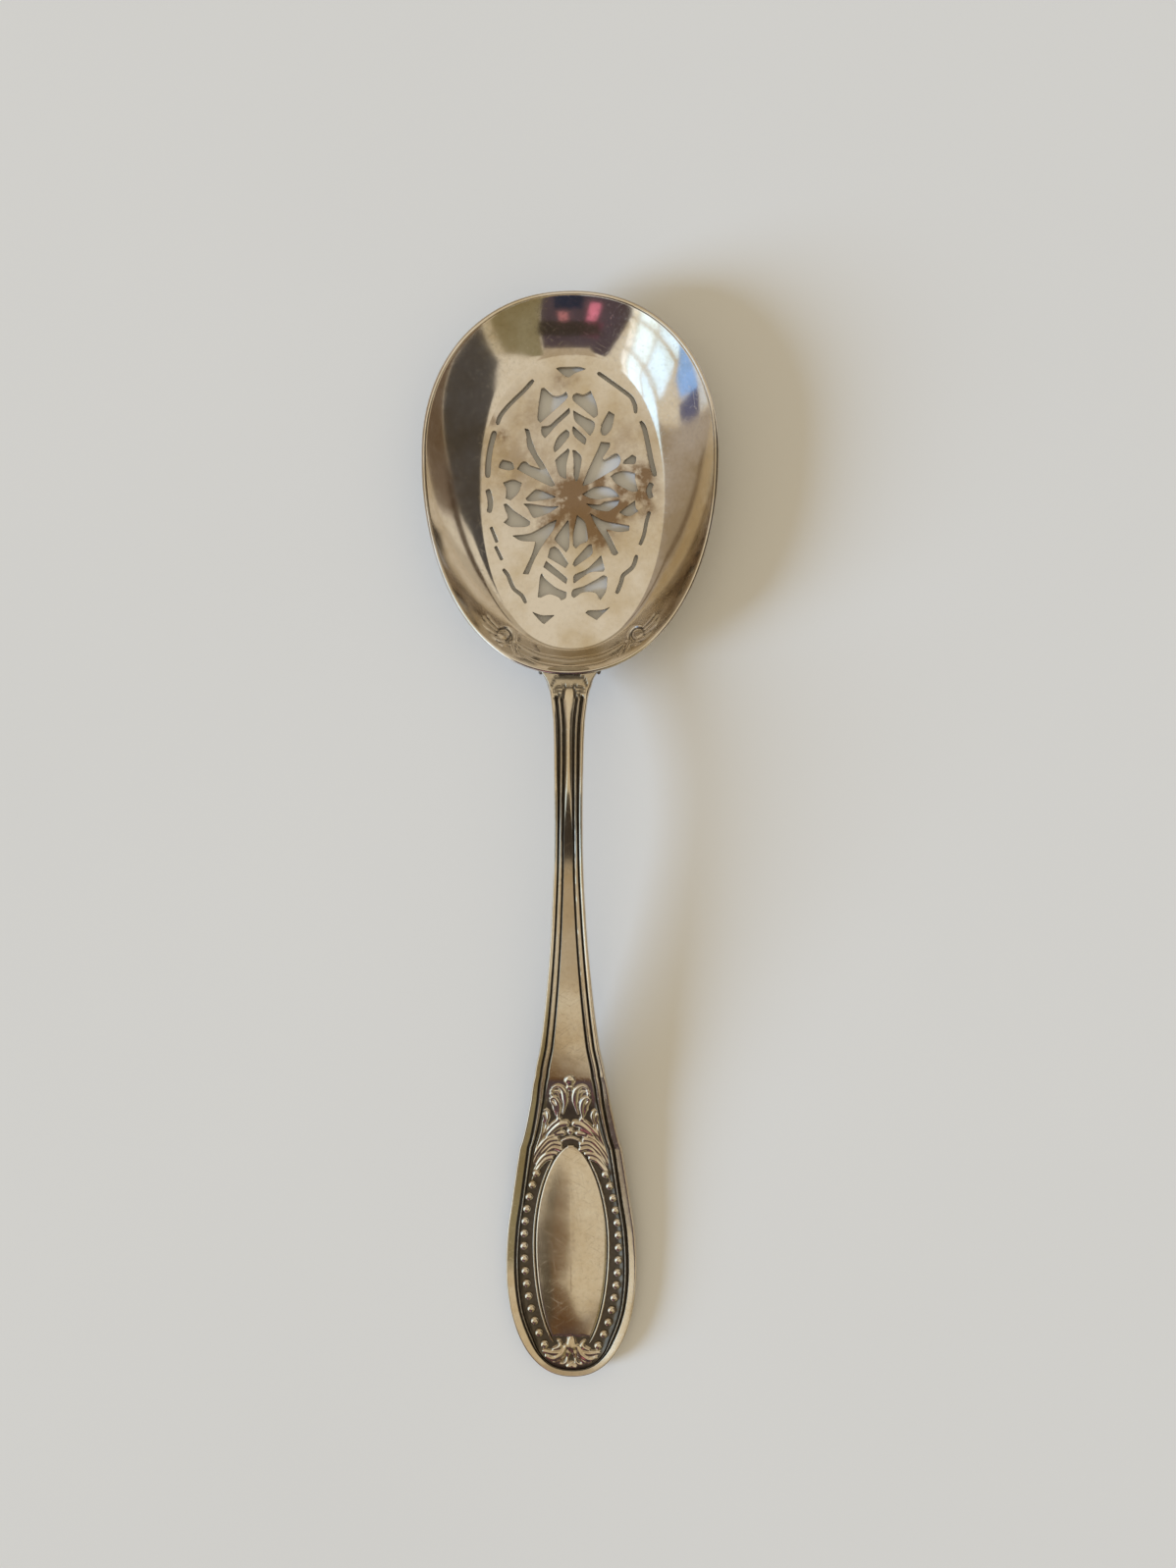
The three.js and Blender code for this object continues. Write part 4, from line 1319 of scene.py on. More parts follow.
    def build_body(self, material: Material) -> Object:
        """Makes flange, stem and terminal as one struck body.

        Args:
            material: the finish.

        Returns:
            The piece.
        """
        piece = MeshPiece("handle_body")
        edge = self.form.edge(self.stem_steps, self.fan_steps)
        faces = [self.face_points(edge, side) for side in (1, -1)]
        backs = [self.back_points(edge, side) for side in (1, -1)]
        points = np.concatenate(
            [faces[0][0], faces[1][0][:, -2::-1], backs[1], backs[0][:, -2::-1]], axis=1
        )
        plain = np.zeros(backs[0].shape[:2])
        marks = np.concatenate(
            [faces[0][1], faces[1][1][:, -2::-1], plain, plain[:, -2::-1]], axis=1
        )
        numbers = piece.add(self.seated(points).reshape(-1, 3), marks.ravel())
        sections = numbers.reshape(points.shape[:2])
        piece.grid(sections[::-1], closed=True)
        piece.cap(sections[0])
        return piece.build(material)

    def on_face(self, x: Array, y: Array, rise: Array | float) -> Array:
        """Points of ornament on the face, at a rise above its highest level."""
        return np.stack([x, y, self.form.top(y) + rise], axis=-1)


# Leaves of the crest: x, and millimetres below the crest's top ball; the right mirrors the left
CREST_STROKES: list[Stroke] = [
    ball(0, 0.58, 0.76, 0.8, False),
    ball(0, 1.95, 0.55, 0.65, False),
    ball(0, 10.2, 0.52, 0.7, False),
    Stroke([(-1.45, 11.96), (0, 11.5), (1.45, 11.96)], (0.22, 0.3, 0.22), 0.6, False),
    # tall leaf beside the middle: its outer fold, its inner lobe and the balls at its tip
    Stroke([(-3, 2), (-2.15, 1.62), (-1.2, 2.3), (-0.85, 3.75), (-0.92, 5.2), (-1.35, 6.9)],
           (0.26, 0.52, 0.2), 0.8),
    Stroke([(-2.75, 2.75), (-2.1, 2.7), (-1.65, 3.5), (-1.55, 4.8)], (0.2, 0.34, 0.2), 0.5),
    Stroke([(-3.4, 4.1), (-2.75, 3.85), (-2.2, 4.7), (-2.05, 6), (-2.2, 7.4)],
           (0.3, 0.46, 0.26), 0.86),
    Stroke([(-3.3, 4.6), (-2.85, 5.3), (-2.65, 6.3), (-2.55, 7.2)], (0.34, 0.42, 0.2), 0.74),
    ball(-3.24, 2.5, 0.3, 0.6),
    ball(-3.3, 3.15, 0.32, 0.62),
    # small leaf at the side and the thin ribs that run down from it
    Stroke([(-4.75, 6.35), (-4.3, 6.2), (-3.95, 6.8), (-3.95, 7.7), (-4.35, 8.8)],
           (0.2, 0.34, 0.2), 0.7),
    Stroke([(-4.75, 7.1), (-4.6, 7.8), (-4.5, 8.6)], (0.38, 0.36, 0.2), 0.62),
    Stroke([(-4.9, 8.4), (-5.1, 10.2), (-5.7, 12.2), (-6.7, 14.8)], (0.24, 0.26, 0.14), 0.5),
    Stroke([(-4.2, 9), (-4.6, 10.3), (-5.2, 11.6), (-6, 13.2)], (0.2, 0.24, 0.14), 0.45),
    # curl of the middle
    ball(-2.05, 7.95, 0.42, 0.68),
    Stroke([(-0.85, 8.75), (-1.7, 8.95), (-2.7, 9.65), (-3.65, 10.6), (-4.7, 11.9)],
           (0.56, 0.4, 0.15), 0.84),
    Stroke([(-2.3, 8.3), (-3.1, 8.9), (-3.9, 9.8), (-5, 11.3)], (0.34, 0.28, 0.14), 0.62),
    Stroke([(-1.7, 9.75), (-2.7, 10.45), (-3.6, 11.4)], (0.22, 0.24, 0.12), 0.5),
    Stroke([(-1.35, 10.6), (-2.3, 10.75), (-3.1, 11.1)], (0.42, 0.34, 0.2), 0.6),
    # broad shoulder leaf
    Stroke([(-3.2, 11.15), (-4.3, 11.7), (-5.3, 12.8), (-6.4, 14.4), (-7.2, 16.2)],
           (0.32, 0.28, 0.14), 0.62),
    Stroke([(-2.5, 11.75), (-3.8, 12), (-4.9, 13.1), (-6, 14.7), (-7, 16.7)],
           (0.42, 0.3, 0.14), 0.7),
    Stroke([(-1.95, 12.65), (-3.1, 12.5), (-4.2, 13.3), (-5.3, 14.5), (-6.5, 16.3)],
           (0.46, 0.32, 0.14), 0.74),
    Stroke([(-1.85, 13.6), (-3, 13.3), (-4.1, 13.95), (-5.2, 15.2)], (0.5, 0.36, 0.16), 0.84),
    Stroke([(-2.7, 14.4), (-3.8, 14.4), (-4.9, 15), (-5.9, 16.3), (-6.8, 17.8)],
           (0.36, 0.32, 0.14), 0.74),
    Stroke([(-3.5, 15.2), (-4.5, 15.55), (-5.5, 16.7), (-6.4, 18.1), (-7, 19.4)],
           (0.42, 0.36, 0.14), 0.8),
]

# The palmette: x, and millimetres below the cartouche's foot
PALMETTE_STROKES: list[Stroke] = [
    Stroke([(0, 0.45), (0, 1), (0, 1.7)], (0.6, 0.7, 0.76), 0.8, False),
    Stroke([(-0.25, 1.9), (-0.5, 2.7), (-0.6, 3.6)], (0.36, 0.4, 0.2), 0.66),
    Stroke([(-2.35, 0.65), (-1.95, 1.2), (-2.25, 1.8), (-3.2, 2.2)], (0.26, 0.36, 0.28), 0.74),
    Stroke([(-1, 1.5), (-1.45, 2.6), (-2.3, 3.45), (-3.4, 3.9), (-4.5, 3.4)], (0.26, 0.4, 0.34),
            0.82),
    Stroke([(-1.3, 1.6), (-2.1, 2.6), (-3.2, 2.85), (-4.2, 2.75), (-5, 2.6)], (0.2, 0.42, 0.34),
            0.74),
    Stroke([(-0.95, 2.3), (-1.45, 3.5), (-2.2, 4.3), (-3.2, 4.6)], (0.2, 0.34, 0.26), 0.66),
    ball(-4.75, 3.6, 0.3, 0.66),
    ball(-3.4, 4.45, 0.32, 0.68),
    Stroke([(-0.7, 3.4), (-0.9, 4.5), (-1.8, 5)], (0.16, 0.24, 0.18), 0.55),
    Stroke([(-2, 4.85)], (0.34, 0.3, 0.3), 0.55),
    Stroke([(0, 4.75), (-0.35, 5.2), (-0.8, 5.55)], (0.34, 0.46, 0.42), 0.72),
]

# Both patches: half width, start and end below the same line
CREST_BOX = (8.2, -0.4, 19.9)
PALMETTE_BOX = (5.8, -0.2, 6.1)


@dataclass
class FaceOrnament:
    """Everything raised on the sunken field of the handle.

    The cartouche's outline is an oval whose shares are of the cartouche's length.
    """

    handle: Handle
    frame_width: float = 0.5
    frame_gap: float = 0.12
    bead_offset: float = 2.12
    bead_radius: float = 0.8
    bead_flatness: float = 0.66
    bead_rise: float = 0.1
    beads: int = 15
    cell: float = 0.095
    leaf_root: float = 0.12
    leaf_sheet: float = 0.3
    oval_half: float = 6.4
    oval_middle: float = 0.52
    oval_shares: tuple[float, float] = (0.535, 0.57)
    oval_powers: tuple[float, float] = (0.6, 0.5)
    steps: int = 120
    top_half: float = 0.55
    root: float = 0.3
    frame_rise: float = 0.55
    frame_steps: int = 150

    # Places where the frame and the rows of beads start and end
    FRAME_ENDS = (2.06, 3.16)
    BEAD_ENDS = (2.137, 3.19)
    # Rows round the cartouche's edge: share of the way inwards, rise and mark for recesses
    EDGE_ROWS = [(0.0, -0.3, 1), (0.0, 0.1, 1), (0.004, 0.26, 0.5), (0.014, 0.34, 0.1)]

    @property
    def form(self) -> HandleForm:
        """The handle's form."""
        return self.handle.form

    def oval(self, y: Array, out: float) -> Array:
        """Half width of the cartouche's outline.

        Args:
            y: where it is wanted.
            out: how far the outline is moved outwards.

        Returns:
            One half width for each Y.
        """
        form = self.form
        middle = float(form.along(2)) - self.oval_middle * form.cartouche
        upper = y > middle
        reach = np.where(upper, *self.oval_shares) * form.cartouche + out
        level = np.maximum(1 - ((y - middle) / reach) ** 2, 0)
        return (self.oval_half + out) * level ** np.where(upper, *self.oval_powers)

    def relief(
        self, name: str, strokes: list[Stroke], top_y: float, box: tuple[float, float, float],
        material: Material,
    ) -> Object:
        """Makes a patch of leaves.

        Args:
            name: the piece's name.
            strokes: its strands.
            top_y: Y from which the strands count down.
            box: half width, start and end of the patch below top_y.
            material: the finish.

        Returns:
            The piece.
        """
        half, start, end = box
        columns = np.linspace(-1, 1, int(2 * half / self.cell))
        rows = np.linspace(end, start, int((end - start) / self.cell))
        x, down = np.meshgrid(columns, rows)
        x = x * np.minimum(self.form.field_half(top_y - down) + 0.1, half)
        heights = stroke_heights(strokes, np.stack([x.ravel(), down.ravel()], axis=1))
        heights = blurred(heights.reshape(x.shape), 1)
        crease = (blurred(heights, 2) - heights) * 6
        recess = np.clip(np.maximum(crease, 1 - smoothstep(0.0, 0.08, heights)), 0, 1)
        rise = heights - self.form.sunk(top_y - down) - self.leaf_root
        face = self.handle.on_face(x, top_y - down, rise)
        piece = MeshPiece(name)
        add_relief(piece, face, np.array([0, 0, -self.leaf_sheet]), recess)
        return piece.build(material)

    def build_cartouche(self, material: Material) -> Object:
        """Makes the plain cushioned cartouche.

        Args:
            material: the finish.

        Returns:
            The piece.
        """
        outline, top_y, foot_y = self.cartouche_outline()
        middle_y, half_length = (foot_y + top_y) / 2, (top_y - foot_y) / 2
        spine_y = middle_y + (outline[:, 1] - middle_y) * 0.5
        inward = np.stack([np.zeros(len(outline)), spine_y], axis=1) - outline
        piece = MeshPiece("handle_cartouche")
        base = -self.form.field_depth
        under = [(share, -self.root, 1) for share in np.linspace(0.985, 0.06, 14)]
        rows = []
        for share, rise, recess in under + self.EDGE_ROWS:
            x, y = (outline + inward * share).T
            rows.append(piece.add(self.handle.on_face(x, y, base + rise), recess))
        for share in np.linspace(0.03, 0.985, 26):
            x, y = (outline + inward * share).T
            across = np.clip(np.abs(x) / np.maximum(self.oval(y, 0), 0.6), 0, 1)
            along = np.clip(np.abs(y - middle_y) / half_length, 0, 1)
            cushion = 0.38 + 0.42 * (1 - across**2) * (1 - along**4)
            rows.append(piece.add(self.handle.on_face(x, y, base + cushion)))
        piece.tube(rows)
        return piece.build(material)

    def cartouche_outline(self) -> tuple[Array, float, float]:
        """The cartouche's outline, scalloped at its foot.

        Returns:
            The loop, and the Y of its top and of its foot.
        """
        top_y = float(self.form.along(2)) + self.top_half
        foot_y = float(self.form.along(3))
        turn = np.linspace(0, np.pi, self.steps)
        y = foot_y + (top_y - foot_y) * (1 - np.cos(turn)) / 2
        half = np.maximum(self.oval(y, 0), self.top_half)
        foot_half = float(self.oval(np.array(foot_y), 0))
        foot_x = np.linspace(0, foot_half, 24, endpoint=False)
        scallop = 0.22 * np.abs(np.sin(np.pi * foot_x / foot_half * 1.5))
        top_x = np.linspace(half[-1], 0, 6)[1:]
        right = np.vstack([
            np.stack([foot_x, foot_y + 0.25 - scallop], axis=1),
            np.stack([half, y], axis=1),
            np.stack([top_x, np.full(len(top_x), top_y)], axis=1),
        ])
        return np.vstack([right, right[-2:0:-1] * (-1, 1)]), top_y, foot_y

    def build_frame(self, material: Material) -> Object:
        """Makes the thin raised frame on both sides of the cartouche.

        Args:
            material: the finish.

        Returns:
            The piece.
        """
        form = self.form
        piece = MeshPiece("handle_frame")
        start, end = (float(form.along(place)) for place in self.FRAME_ENDS)
        y = np.linspace(start, end, self.frame_steps)
        line = np.stack([self.oval(y, self.frame_gap + self.frame_width / 2), y], axis=1)
        along = unit(np.gradient(line, axis=0))
        normal = np.stack([along[:, 1], -along[:, 0]], axis=1)
        spot = np.arange(self.frame_steps)
        taper = np.sqrt(np.clip(np.minimum(spot, spot[::-1]) / 8 + 0.05, 0, 1))
        for side in (1, -1):
            rows = []
            for angle in np.linspace(0, 2 * np.pi, 17)[:-1]:
                out = math.cos(angle) * self.frame_width / 2 * taper
                rise = -form.field_depth + math.sin(angle) * self.frame_rise * taper
                x, rail_y = (line + normal * out[:, None]).T
                recess = np.clip(0.9 - 1.4 * math.sin(angle), 0, 1)
                rows.append(piece.add(self.handle.on_face(x * side, rail_y, rise), recess))
            piece.tube(np.array(rows).T[::-1, ::side])
        return piece.build(material)

    def bead_line(self) -> Array:
        """The middle line of the bead channel on the right, from the crest to the palmette.

        Returns:
            One row of x, y, z for each point.
        """
        start, end = (float(self.form.along(place)) for place in self.BEAD_ENDS)
        y = np.linspace(start, end, 200)
        rise = -self.form.field_depth + self.bead_rise
        return self.handle.on_face(self.oval(y, self.bead_offset), y, rise)

    def build_beads(self, material: Material) -> Object:
        """Makes both rows of beads with Geometry Nodes.

        Args:
            material: the finish.

        Returns:
            The piece.
        """
        line = self.bead_line()
        sides = [line, line * (-1, 1, 1)]
        mesh = bpy.data.meshes.new("bead_lines")
        count = len(line)
        edges = [(i + k * count, i + 1 + k * count) for k in range(2) for i in range(count - 1)]
        mesh.from_pydata((np.vstack(sides) * MM).tolist(), edges, [])
        carrier = new_object("bead_lines", mesh)
        tree = BeadTree().build()
        modifier = carrier.modifiers.new("beads", "NODES")
        modifier.node_group = tree
        values = {
            "Beads": self.beads, "Radius": self.bead_radius * MM,
            "Flatness": self.bead_flatness, "Finish": material,
        }
        for item in tree.interface.items_tree:
            if item.item_type == "SOCKET" and item.in_out == "INPUT" and item.name in values:
                modifier[item.identifier] = values[item.name]
        bpy.context.view_layer.update()
        evaluated = carrier.evaluated_get(bpy.context.evaluated_depsgraph_get())
        made = bpy.data.meshes.new_from_object(evaluated)
        bpy.data.objects.remove(carrier)
        return self.marked_beads(made)

    def marked_beads(self, mesh: Mesh) -> Object:
        """Marks the foot of each bead as a recess and names the piece.

        Args:
            mesh: all beads.

        Returns:
            The piece.
        """
        points = np.zeros(len(mesh.vertices) * 3, np.float32)
        mesh.vertices.foreach_get("co", points)
        points = points.reshape(-1, 3).astype(float) / MM
        above = points[:, 2] - self.form.top(points[:, 1]) + self.form.field_depth
        recess = 1 - smoothstep(-0.05, 0.16, above)
        set_mark(mesh, RECESS, recess)
        set_mark(mesh, STAIN, np.zeros(len(points)))
        mesh.name = "handle_beads"
        mesh.shade_smooth()
        return new_object("handle_beads", mesh)


class BeadTree:
    """Geometry Nodes that set a bead at every step along the given lines."""

    def build(self) -> NodeTree:
        """Makes the tree, with number, radius, flatness and finish as inputs.

        Returns:
            The tree.
        """
        tree = bpy.data.node_groups.new("bead_border", "GeometryNodeTree")
        sockets = tree.interface
        inputs = {"Geometry": "Geometry", "Beads": "Int", "Radius": "Float", "Flatness": "Float",
                  "Finish": "Material"}
        for name, kind in inputs.items():
            sockets.new_socket(name, in_out="INPUT", socket_type=f"NodeSocket{kind}")
        sockets.new_socket("Geometry", in_out="OUTPUT", socket_type="NodeSocketGeometry")
        nodes = tree.nodes
        given, result = nodes.new("NodeGroupInput"), nodes.new("NodeGroupOutput")
        curve = nodes.new("GeometryNodeMeshToCurve")
        stepped = nodes.new("GeometryNodeResampleCurve")
        stepped.mode = "COUNT"
        bead = nodes.new("GeometryNodeMeshUVSphere")
        bead.inputs["Segments"].default_value = 22
        bead.inputs["Rings"].default_value = 12
        scale = nodes.new("ShaderNodeCombineXYZ")
        scale.inputs["X"].default_value = 1
        scale.inputs["Y"].default_value = 1
        placed = nodes.new("GeometryNodeInstanceOnPoints")
        real = nodes.new("GeometryNodeRealizeInstances")
        finish = nodes.new("GeometryNodeSetMaterial")
        for start, gives, end, takes in (
            (given, "Geometry", curve, "Mesh"),
            (curve, "Curve", stepped, "Curve"),
            (given, "Beads", stepped, "Count"),
            (given, "Radius", bead, "Radius"),
            (given, "Flatness", scale, "Z"),
            (stepped, "Curve", placed, "Points"),
            (bead, "Mesh", placed, "Instance"),
            (scale, "Vector", placed, "Scale"),
            (placed, "Instances", real, "Geometry"),
            (real, "Geometry", finish, "Geometry"),
            (given, "Finish", finish, "Material"),
            (finish, "Geometry", result, "Geometry"),
        ):
            tree.links.new(start.outputs[gives], end.inputs[takes])
        return tree


@dataclass
class SolderSeam:
    """The fillet of solder round the flange under the rim, whose dark ends at the flange's corners
    also serve as painted shade in the gaps there.
    """

    handle: Handle
    radius: float = 0.36
    place: float = 0.004
    climb: float = 1.2
    outside: float = 0.45

    def build(self, material: Material) -> Object:
        """Makes the fillet as a tube along the flange's sides and underside.

        Args:
            material: the finish.

        Returns:
            The piece.
        """
        form = self.handle.form
        half = float(form.half_at(np.array(self.place)))
        station = np.array([[half, float(form.along(self.place))]])
        right = self.handle.back_points(station, 1)[0]
        left = self.handle.back_points(station, -1)[0]
        path = np.vstack([right, left[-2::-1]])
        above = (0, 0, self.climb)
        path = self.handle.seated(np.vstack([path[:1] + above, path, path[-1:] + above]))
        path[:, 1] -= self.outside
        ahead = np.array([0.0, 1.0, 0.0])
        side = unit(np.cross(unit(np.gradient(path, axis=0)), ahead))
        piece = MeshPiece("solder_fillet")
        rings = []
        for angle in np.linspace(0, 2 * np.pi, 13)[:-1]:
            offset = side * math.cos(angle) * self.radius + ahead * math.sin(angle) * self.radius
            # Half a recess mark all over: the fillet's darkening is partly solder and partly
            # painted shade in the corner gaps.
            rings.append(piece.add(path + offset, 0.5))
        piece.tube(np.array(rings).T)
        return piece.build(material)


# Finishes


@dataclass(frozen=True)
class ShaderLink:
    """Shortcuts for building a node tree."""

    tree: NodeTree

    def node(self, kind: str, **values: object) -> Node:
        """Adds a node.

        Args:
            kind: the node's type.
            values: its inputs' values by name, with spaces as underscores.

        Returns:
            The node.
        """
        made = self.tree.nodes.new(kind)
        for name, value in values.items():
            made.inputs[name.replace("_", " ")].default_value = value
        return made

    def join(self, start: NodeSocket, end: NodeSocket) -> None:
        """Links two sockets."""
        self.tree.links.new(start, end)

    def noise(self, place: NodeSocket, **values: float) -> NodeSocket:
        """Adds a Noise Texture.

        Args:
            place: where it is read.
            values: its inputs' values by name.

        Returns:
            Its value.
        """
        made = self.node("ShaderNodeTexNoise", **values)
        self.join(place, made.inputs["Vector"])
        return made.outputs[0]

    def math(
        self, operation: str, first: object, second: object = 0.0, clamp: bool = False
    ) -> NodeSocket:
        """Adds a Math node.

        Args:
            operation: what it does.
            first: a socket or a number.
            second: another.
            clamp: whether the result stays between 0 and 1.

        Returns:
            Its result.
        """
        made = self.tree.nodes.new("ShaderNodeMath")
        made.operation = operation
        made.use_clamp = clamp
        for socket, value in zip(made.inputs, (first, second)):
            if isinstance(value, (int, float)):
                socket.default_value = value
            else:
                self.join(value, socket)
        return made.outputs[0]

    def mix(self, factor: NodeSocket, first: object, second: object) -> NodeSocket:
        """Mixes two colours.

        Args:
            factor: the second colour's share.
            first: a socket or a colour.
            second: another.

        Returns:
            The mixed colour.
        """
        made = self.tree.nodes.new("ShaderNodeMix")
        made.data_type = "RGBA"
        self.join(factor, made.inputs[0])
        for socket, value in zip((made.inputs[6], made.inputs[7]), (first, second)):
            if isinstance(value, tuple):
                socket.default_value = (*value, 1)
            else:
                self.join(value, socket)
        return made.outputs[2]


def new_group(name: str, inputs: dict[str, str], outputs: dict[str, str]) -> NodeTree:
    """Starts a shader node group.

    Args:
        name: its name.
        inputs: the inputs' kinds by name, Float or Color.
        outputs: the outputs' kinds by name.

    Returns:
        The group, with only its sockets.
    """
    group = bpy.data.node_groups.new(name, "ShaderNodeTree")
    for way, sockets in (("INPUT", inputs), ("OUTPUT", outputs)):
        for socket, kind in sockets.items():
            group.interface.new_socket(socket, in_out=way, socket_type=f"NodeSocket{kind}")
    return group


class WearGroup:
    """Node group of fine scratches, handling marks and uneven polish on worn silver."""

    # Layers of scratches: their direction in radians, and how many across a metre
    LAYERS = ((0.5, 5200), (1.4, 7000), (2.5, 6000))

    def build(self) -> NodeTree:
        """Makes the group.

        Returns:
            The group: roughness to add, and a height for the bump.
        """
        inputs = {"Scratches": "Float", "Dullness": "Float"}
        group = new_group("worn_polish", inputs, {"Roughness": "Float", "Height": "Float"})
        kit = ShaderLink(group)
        given, result = kit.node("NodeGroupInput"), kit.node("NodeGroupOutput")
        place = kit.node("ShaderNodeTexCoord").outputs["Object"]
        lines = [self.scratch_layer(kit, place, turn, size) for turn, size in self.LAYERS]
        scratched = kit.math("MAXIMUM", kit.math("MAXIMUM", lines[0], lines[1]), lines[2])
        dents = kit.noise(place, Scale=260, Detail=3)
        cloud = kit.noise(place, Scale=90, Detail=5, Roughness=0.65)
        patches = kit.math("SUBTRACT", cloud, 0.35, clamp=True)
        dull = kit.math("MULTIPLY", patches, given.outputs["Dullness"])
        haze = kit.math("MULTIPLY", given.outputs["Scratches"], 0.12)
        rough = kit.math("ADD", dull, kit.math("MULTIPLY", scratched, haze))
        cut = kit.math("MULTIPLY", scratched, given.outputs["Scratches"])
        waves = kit.math("MULTIPLY", dents, 0.6)
        height = kit.math("SUBTRACT", waves, kit.math("MULTIPLY", cut, 0.25))
        kit.join(rough, result.inputs["Roughness"])
        kit.join(height, result.inputs["Height"])
        return group

    @staticmethod
    def scratch_layer(kit: ShaderLink, place: NodeSocket, turn: float, size: float) -> NodeSocket:
        """Thin lines in one direction, where a stretched noise is high.

        Args:
            kit: the group's tree.
            place: where the noise is read.
            turn: the direction, in radians.
            size: how many lines go across a metre.

        Returns:
            1 on a line and 0 beside it.
        """
        turned = kit.node("ShaderNodeMapping", Rotation=(0, 0, turn))
        stretched = kit.node("ShaderNodeMapping", Scale=(size * 0.03, size, size * 0.3))
        kit.join(place, turned.inputs["Vector"])
        kit.join(turned.outputs[0], stretched.inputs["Vector"])
        noise = kit.noise(stretched.outputs[0], Scale=1.0, Detail=2)
        return kit.math("GREATER_THAN", noise, 0.7)


class TarnishGroup:
    """Node group that darkens recesses and stains and clouds the metal's colour."""

    def build(self) -> NodeTree:
        """Makes the group.

        Returns:
            The group: colour, and a mask of where the metal is dull.
        """
        inputs = {"Metal": "Color", "Warm": "Color", "Patina": "Color", "Brown": "Color",
                  "Depth": "Float", "Clouds": "Float"}
        group = new_group("tarnish", inputs, {"Color": "Color", "Dull": "Float"})
        kit = ShaderLink(group)
        given, result = kit.node("NodeGroupInput").outputs, kit.node("NodeGroupOutput")
        place = kit.node("ShaderNodeTexCoord").outputs["Object"]
        recess, stain = (self.mark(kit, name) for name in (RECESS, STAIN))
        speckle = kit.noise(place, Scale=1500, Detail=4)
        cloud = kit.noise(place, Scale=70, Detail=6, Roughness=0.6)
        patch = kit.noise(place, Scale=420, Detail=5, Roughness=0.6)
        grain = kit.math("MULTIPLY", kit.math("SUBTRACT", speckle, 0.5), 0.35)
        ragged = kit.math("SMOOTH_MIN", kit.math("ADD", recess, grain), 1.0, clamp=True)
        dark = kit.math("MULTIPLY", ragged, given["Depth"], clamp=True)
        hazy = kit.math("SUBTRACT", cloud, 0.42, clamp=True)
        hazy = kit.math("MULTIPLY", kit.math("MULTIPLY", hazy, given["Clouds"]), 4.0, clamp=True)
        ragged_edge = kit.math("MULTIPLY", kit.math("SUBTRACT", patch, 0.26), 3.2, clamp=True)
        blot = kit.math("MULTIPLY", kit.math("MULTIPLY", stain, ragged_edge, clamp=True), 0.88)
        colour = kit.mix(hazy, given["Metal"], given["Warm"])
        colour = kit.mix(blot, colour, given["Brown"])
        colour = kit.mix(dark, colour, given["Patina"])
        kit.join(colour, result.inputs["Color"])
        dull = kit.math("MAXIMUM", dark, kit.math("MULTIPLY", blot, 0.5))
        kit.join(dull, result.inputs["Dull"])
        return group

    @staticmethod
    def mark(kit: ShaderLink, name: str) -> NodeSocket:
        """Reads one of the mesh's marks.

        Args:
            kit: the group's tree.
            name: the mark.

        Returns:
            Its value.
        """
        node = kit.node("ShaderNodeAttribute")
        node.attribute_name = name
        return node.outputs["Fac"]


@dataclass(frozen=True)
class SilverFinish:
    """Worn silver: how bright, how scratched and how tarnished."""

    name: str
    metal: Colour
    warm: Colour
    patina: Colour
    brown: Colour
    roughness: float
    scratches: float
    dullness: float
    depth: float
    clouds: float
    bump: float

    def build(self, wear: NodeTree, tarnish: NodeTree) -> Material:
        """Makes the material from the two shared groups.

        Args:
            wear: the group of scratches and polish.
            tarnish: the group of tarnish and stains.

        Returns:
            The material.
        """
        dulling, bump_depth = 0.3, 0.0001
        material = bpy.data.materials.new(self.name)
        material.use_nodes = True
        kit = ShaderLink(material.node_tree)
        shader = material.node_tree.nodes["Principled BSDF"]
        shader.inputs["Metallic"].default_value = 1.0
        worn, dark = kit.node("ShaderNodeGroup"), kit.node("ShaderNodeGroup")
        worn.node_tree, dark.node_tree = wear, tarnish
        worn.inputs["Scratches"].default_value = self.scratches
        worn.inputs["Dullness"].default_value = self.dullness
        for socket in ("Metal", "Warm", "Patina", "Brown"):
            dark.inputs[socket].default_value = (*getattr(self, socket.lower()), 1)
        dark.inputs["Depth"].default_value = self.depth
        dark.inputs["Clouds"].default_value = self.clouds
        kit.join(dark.outputs["Color"], shader.inputs["Base Color"])
        dulled = kit.math("MULTIPLY", dark.outputs["Dull"], dulling)
        rough = kit.math("ADD", worn.outputs["Roughness"], self.roughness)
        kit.join(kit.math("ADD", rough, dulled, clamp=True), shader.inputs["Roughness"])
        bump = kit.node("ShaderNodeBump", Strength=self.bump, Distance=bump_depth)
        kit.join(worn.outputs["Height"], bump.inputs["Height"])
        kit.join(bump.outputs["Normal"], shader.inputs["Normal"])
        return material


BOWL_FINISH = SilverFinish(
    name="bowl_silver", metal=(0.81, 0.77, 0.72), warm=(0.62, 0.53, 0.39),
    patina=(0.07, 0.055, 0.045), brown=(0.2, 0.112, 0.048), roughness=0.08,
    scratches=0.6, dullness=0.16, depth=0.9, clouds=1.1, bump=0.14,
)
HANDLE_FINISH = SilverFinish(
    name="struck_silver", metal=(0.78, 0.72, 0.61), warm=(0.64, 0.53, 0.37),
    patina=(0.055, 0.046, 0.038), brown=(0.2, 0.11, 0.05), roughness=0.11,
    scratches=0.6, dullness=0.17, depth=0.95, clouds=1.1, bump=0.16,
)
# Dull grey solder: partly its own colour, partly painted shade where the fillet's ends show as
# dark gaps at the flange's corners.
SOLDER_AND_GAP_SHADE_FINISH = SilverFinish(
    name="hard_solder", metal=(0.55, 0.53, 0.48), warm=(0.45, 0.42, 0.36),
    patina=(0.06, 0.05, 0.045), brown=(0.2, 0.12, 0.06), roughness=0.42,
    scratches=0.3, dullness=0.3, depth=0.8, clouds=0.5, bump=0.3,
)


# Table, light and camera


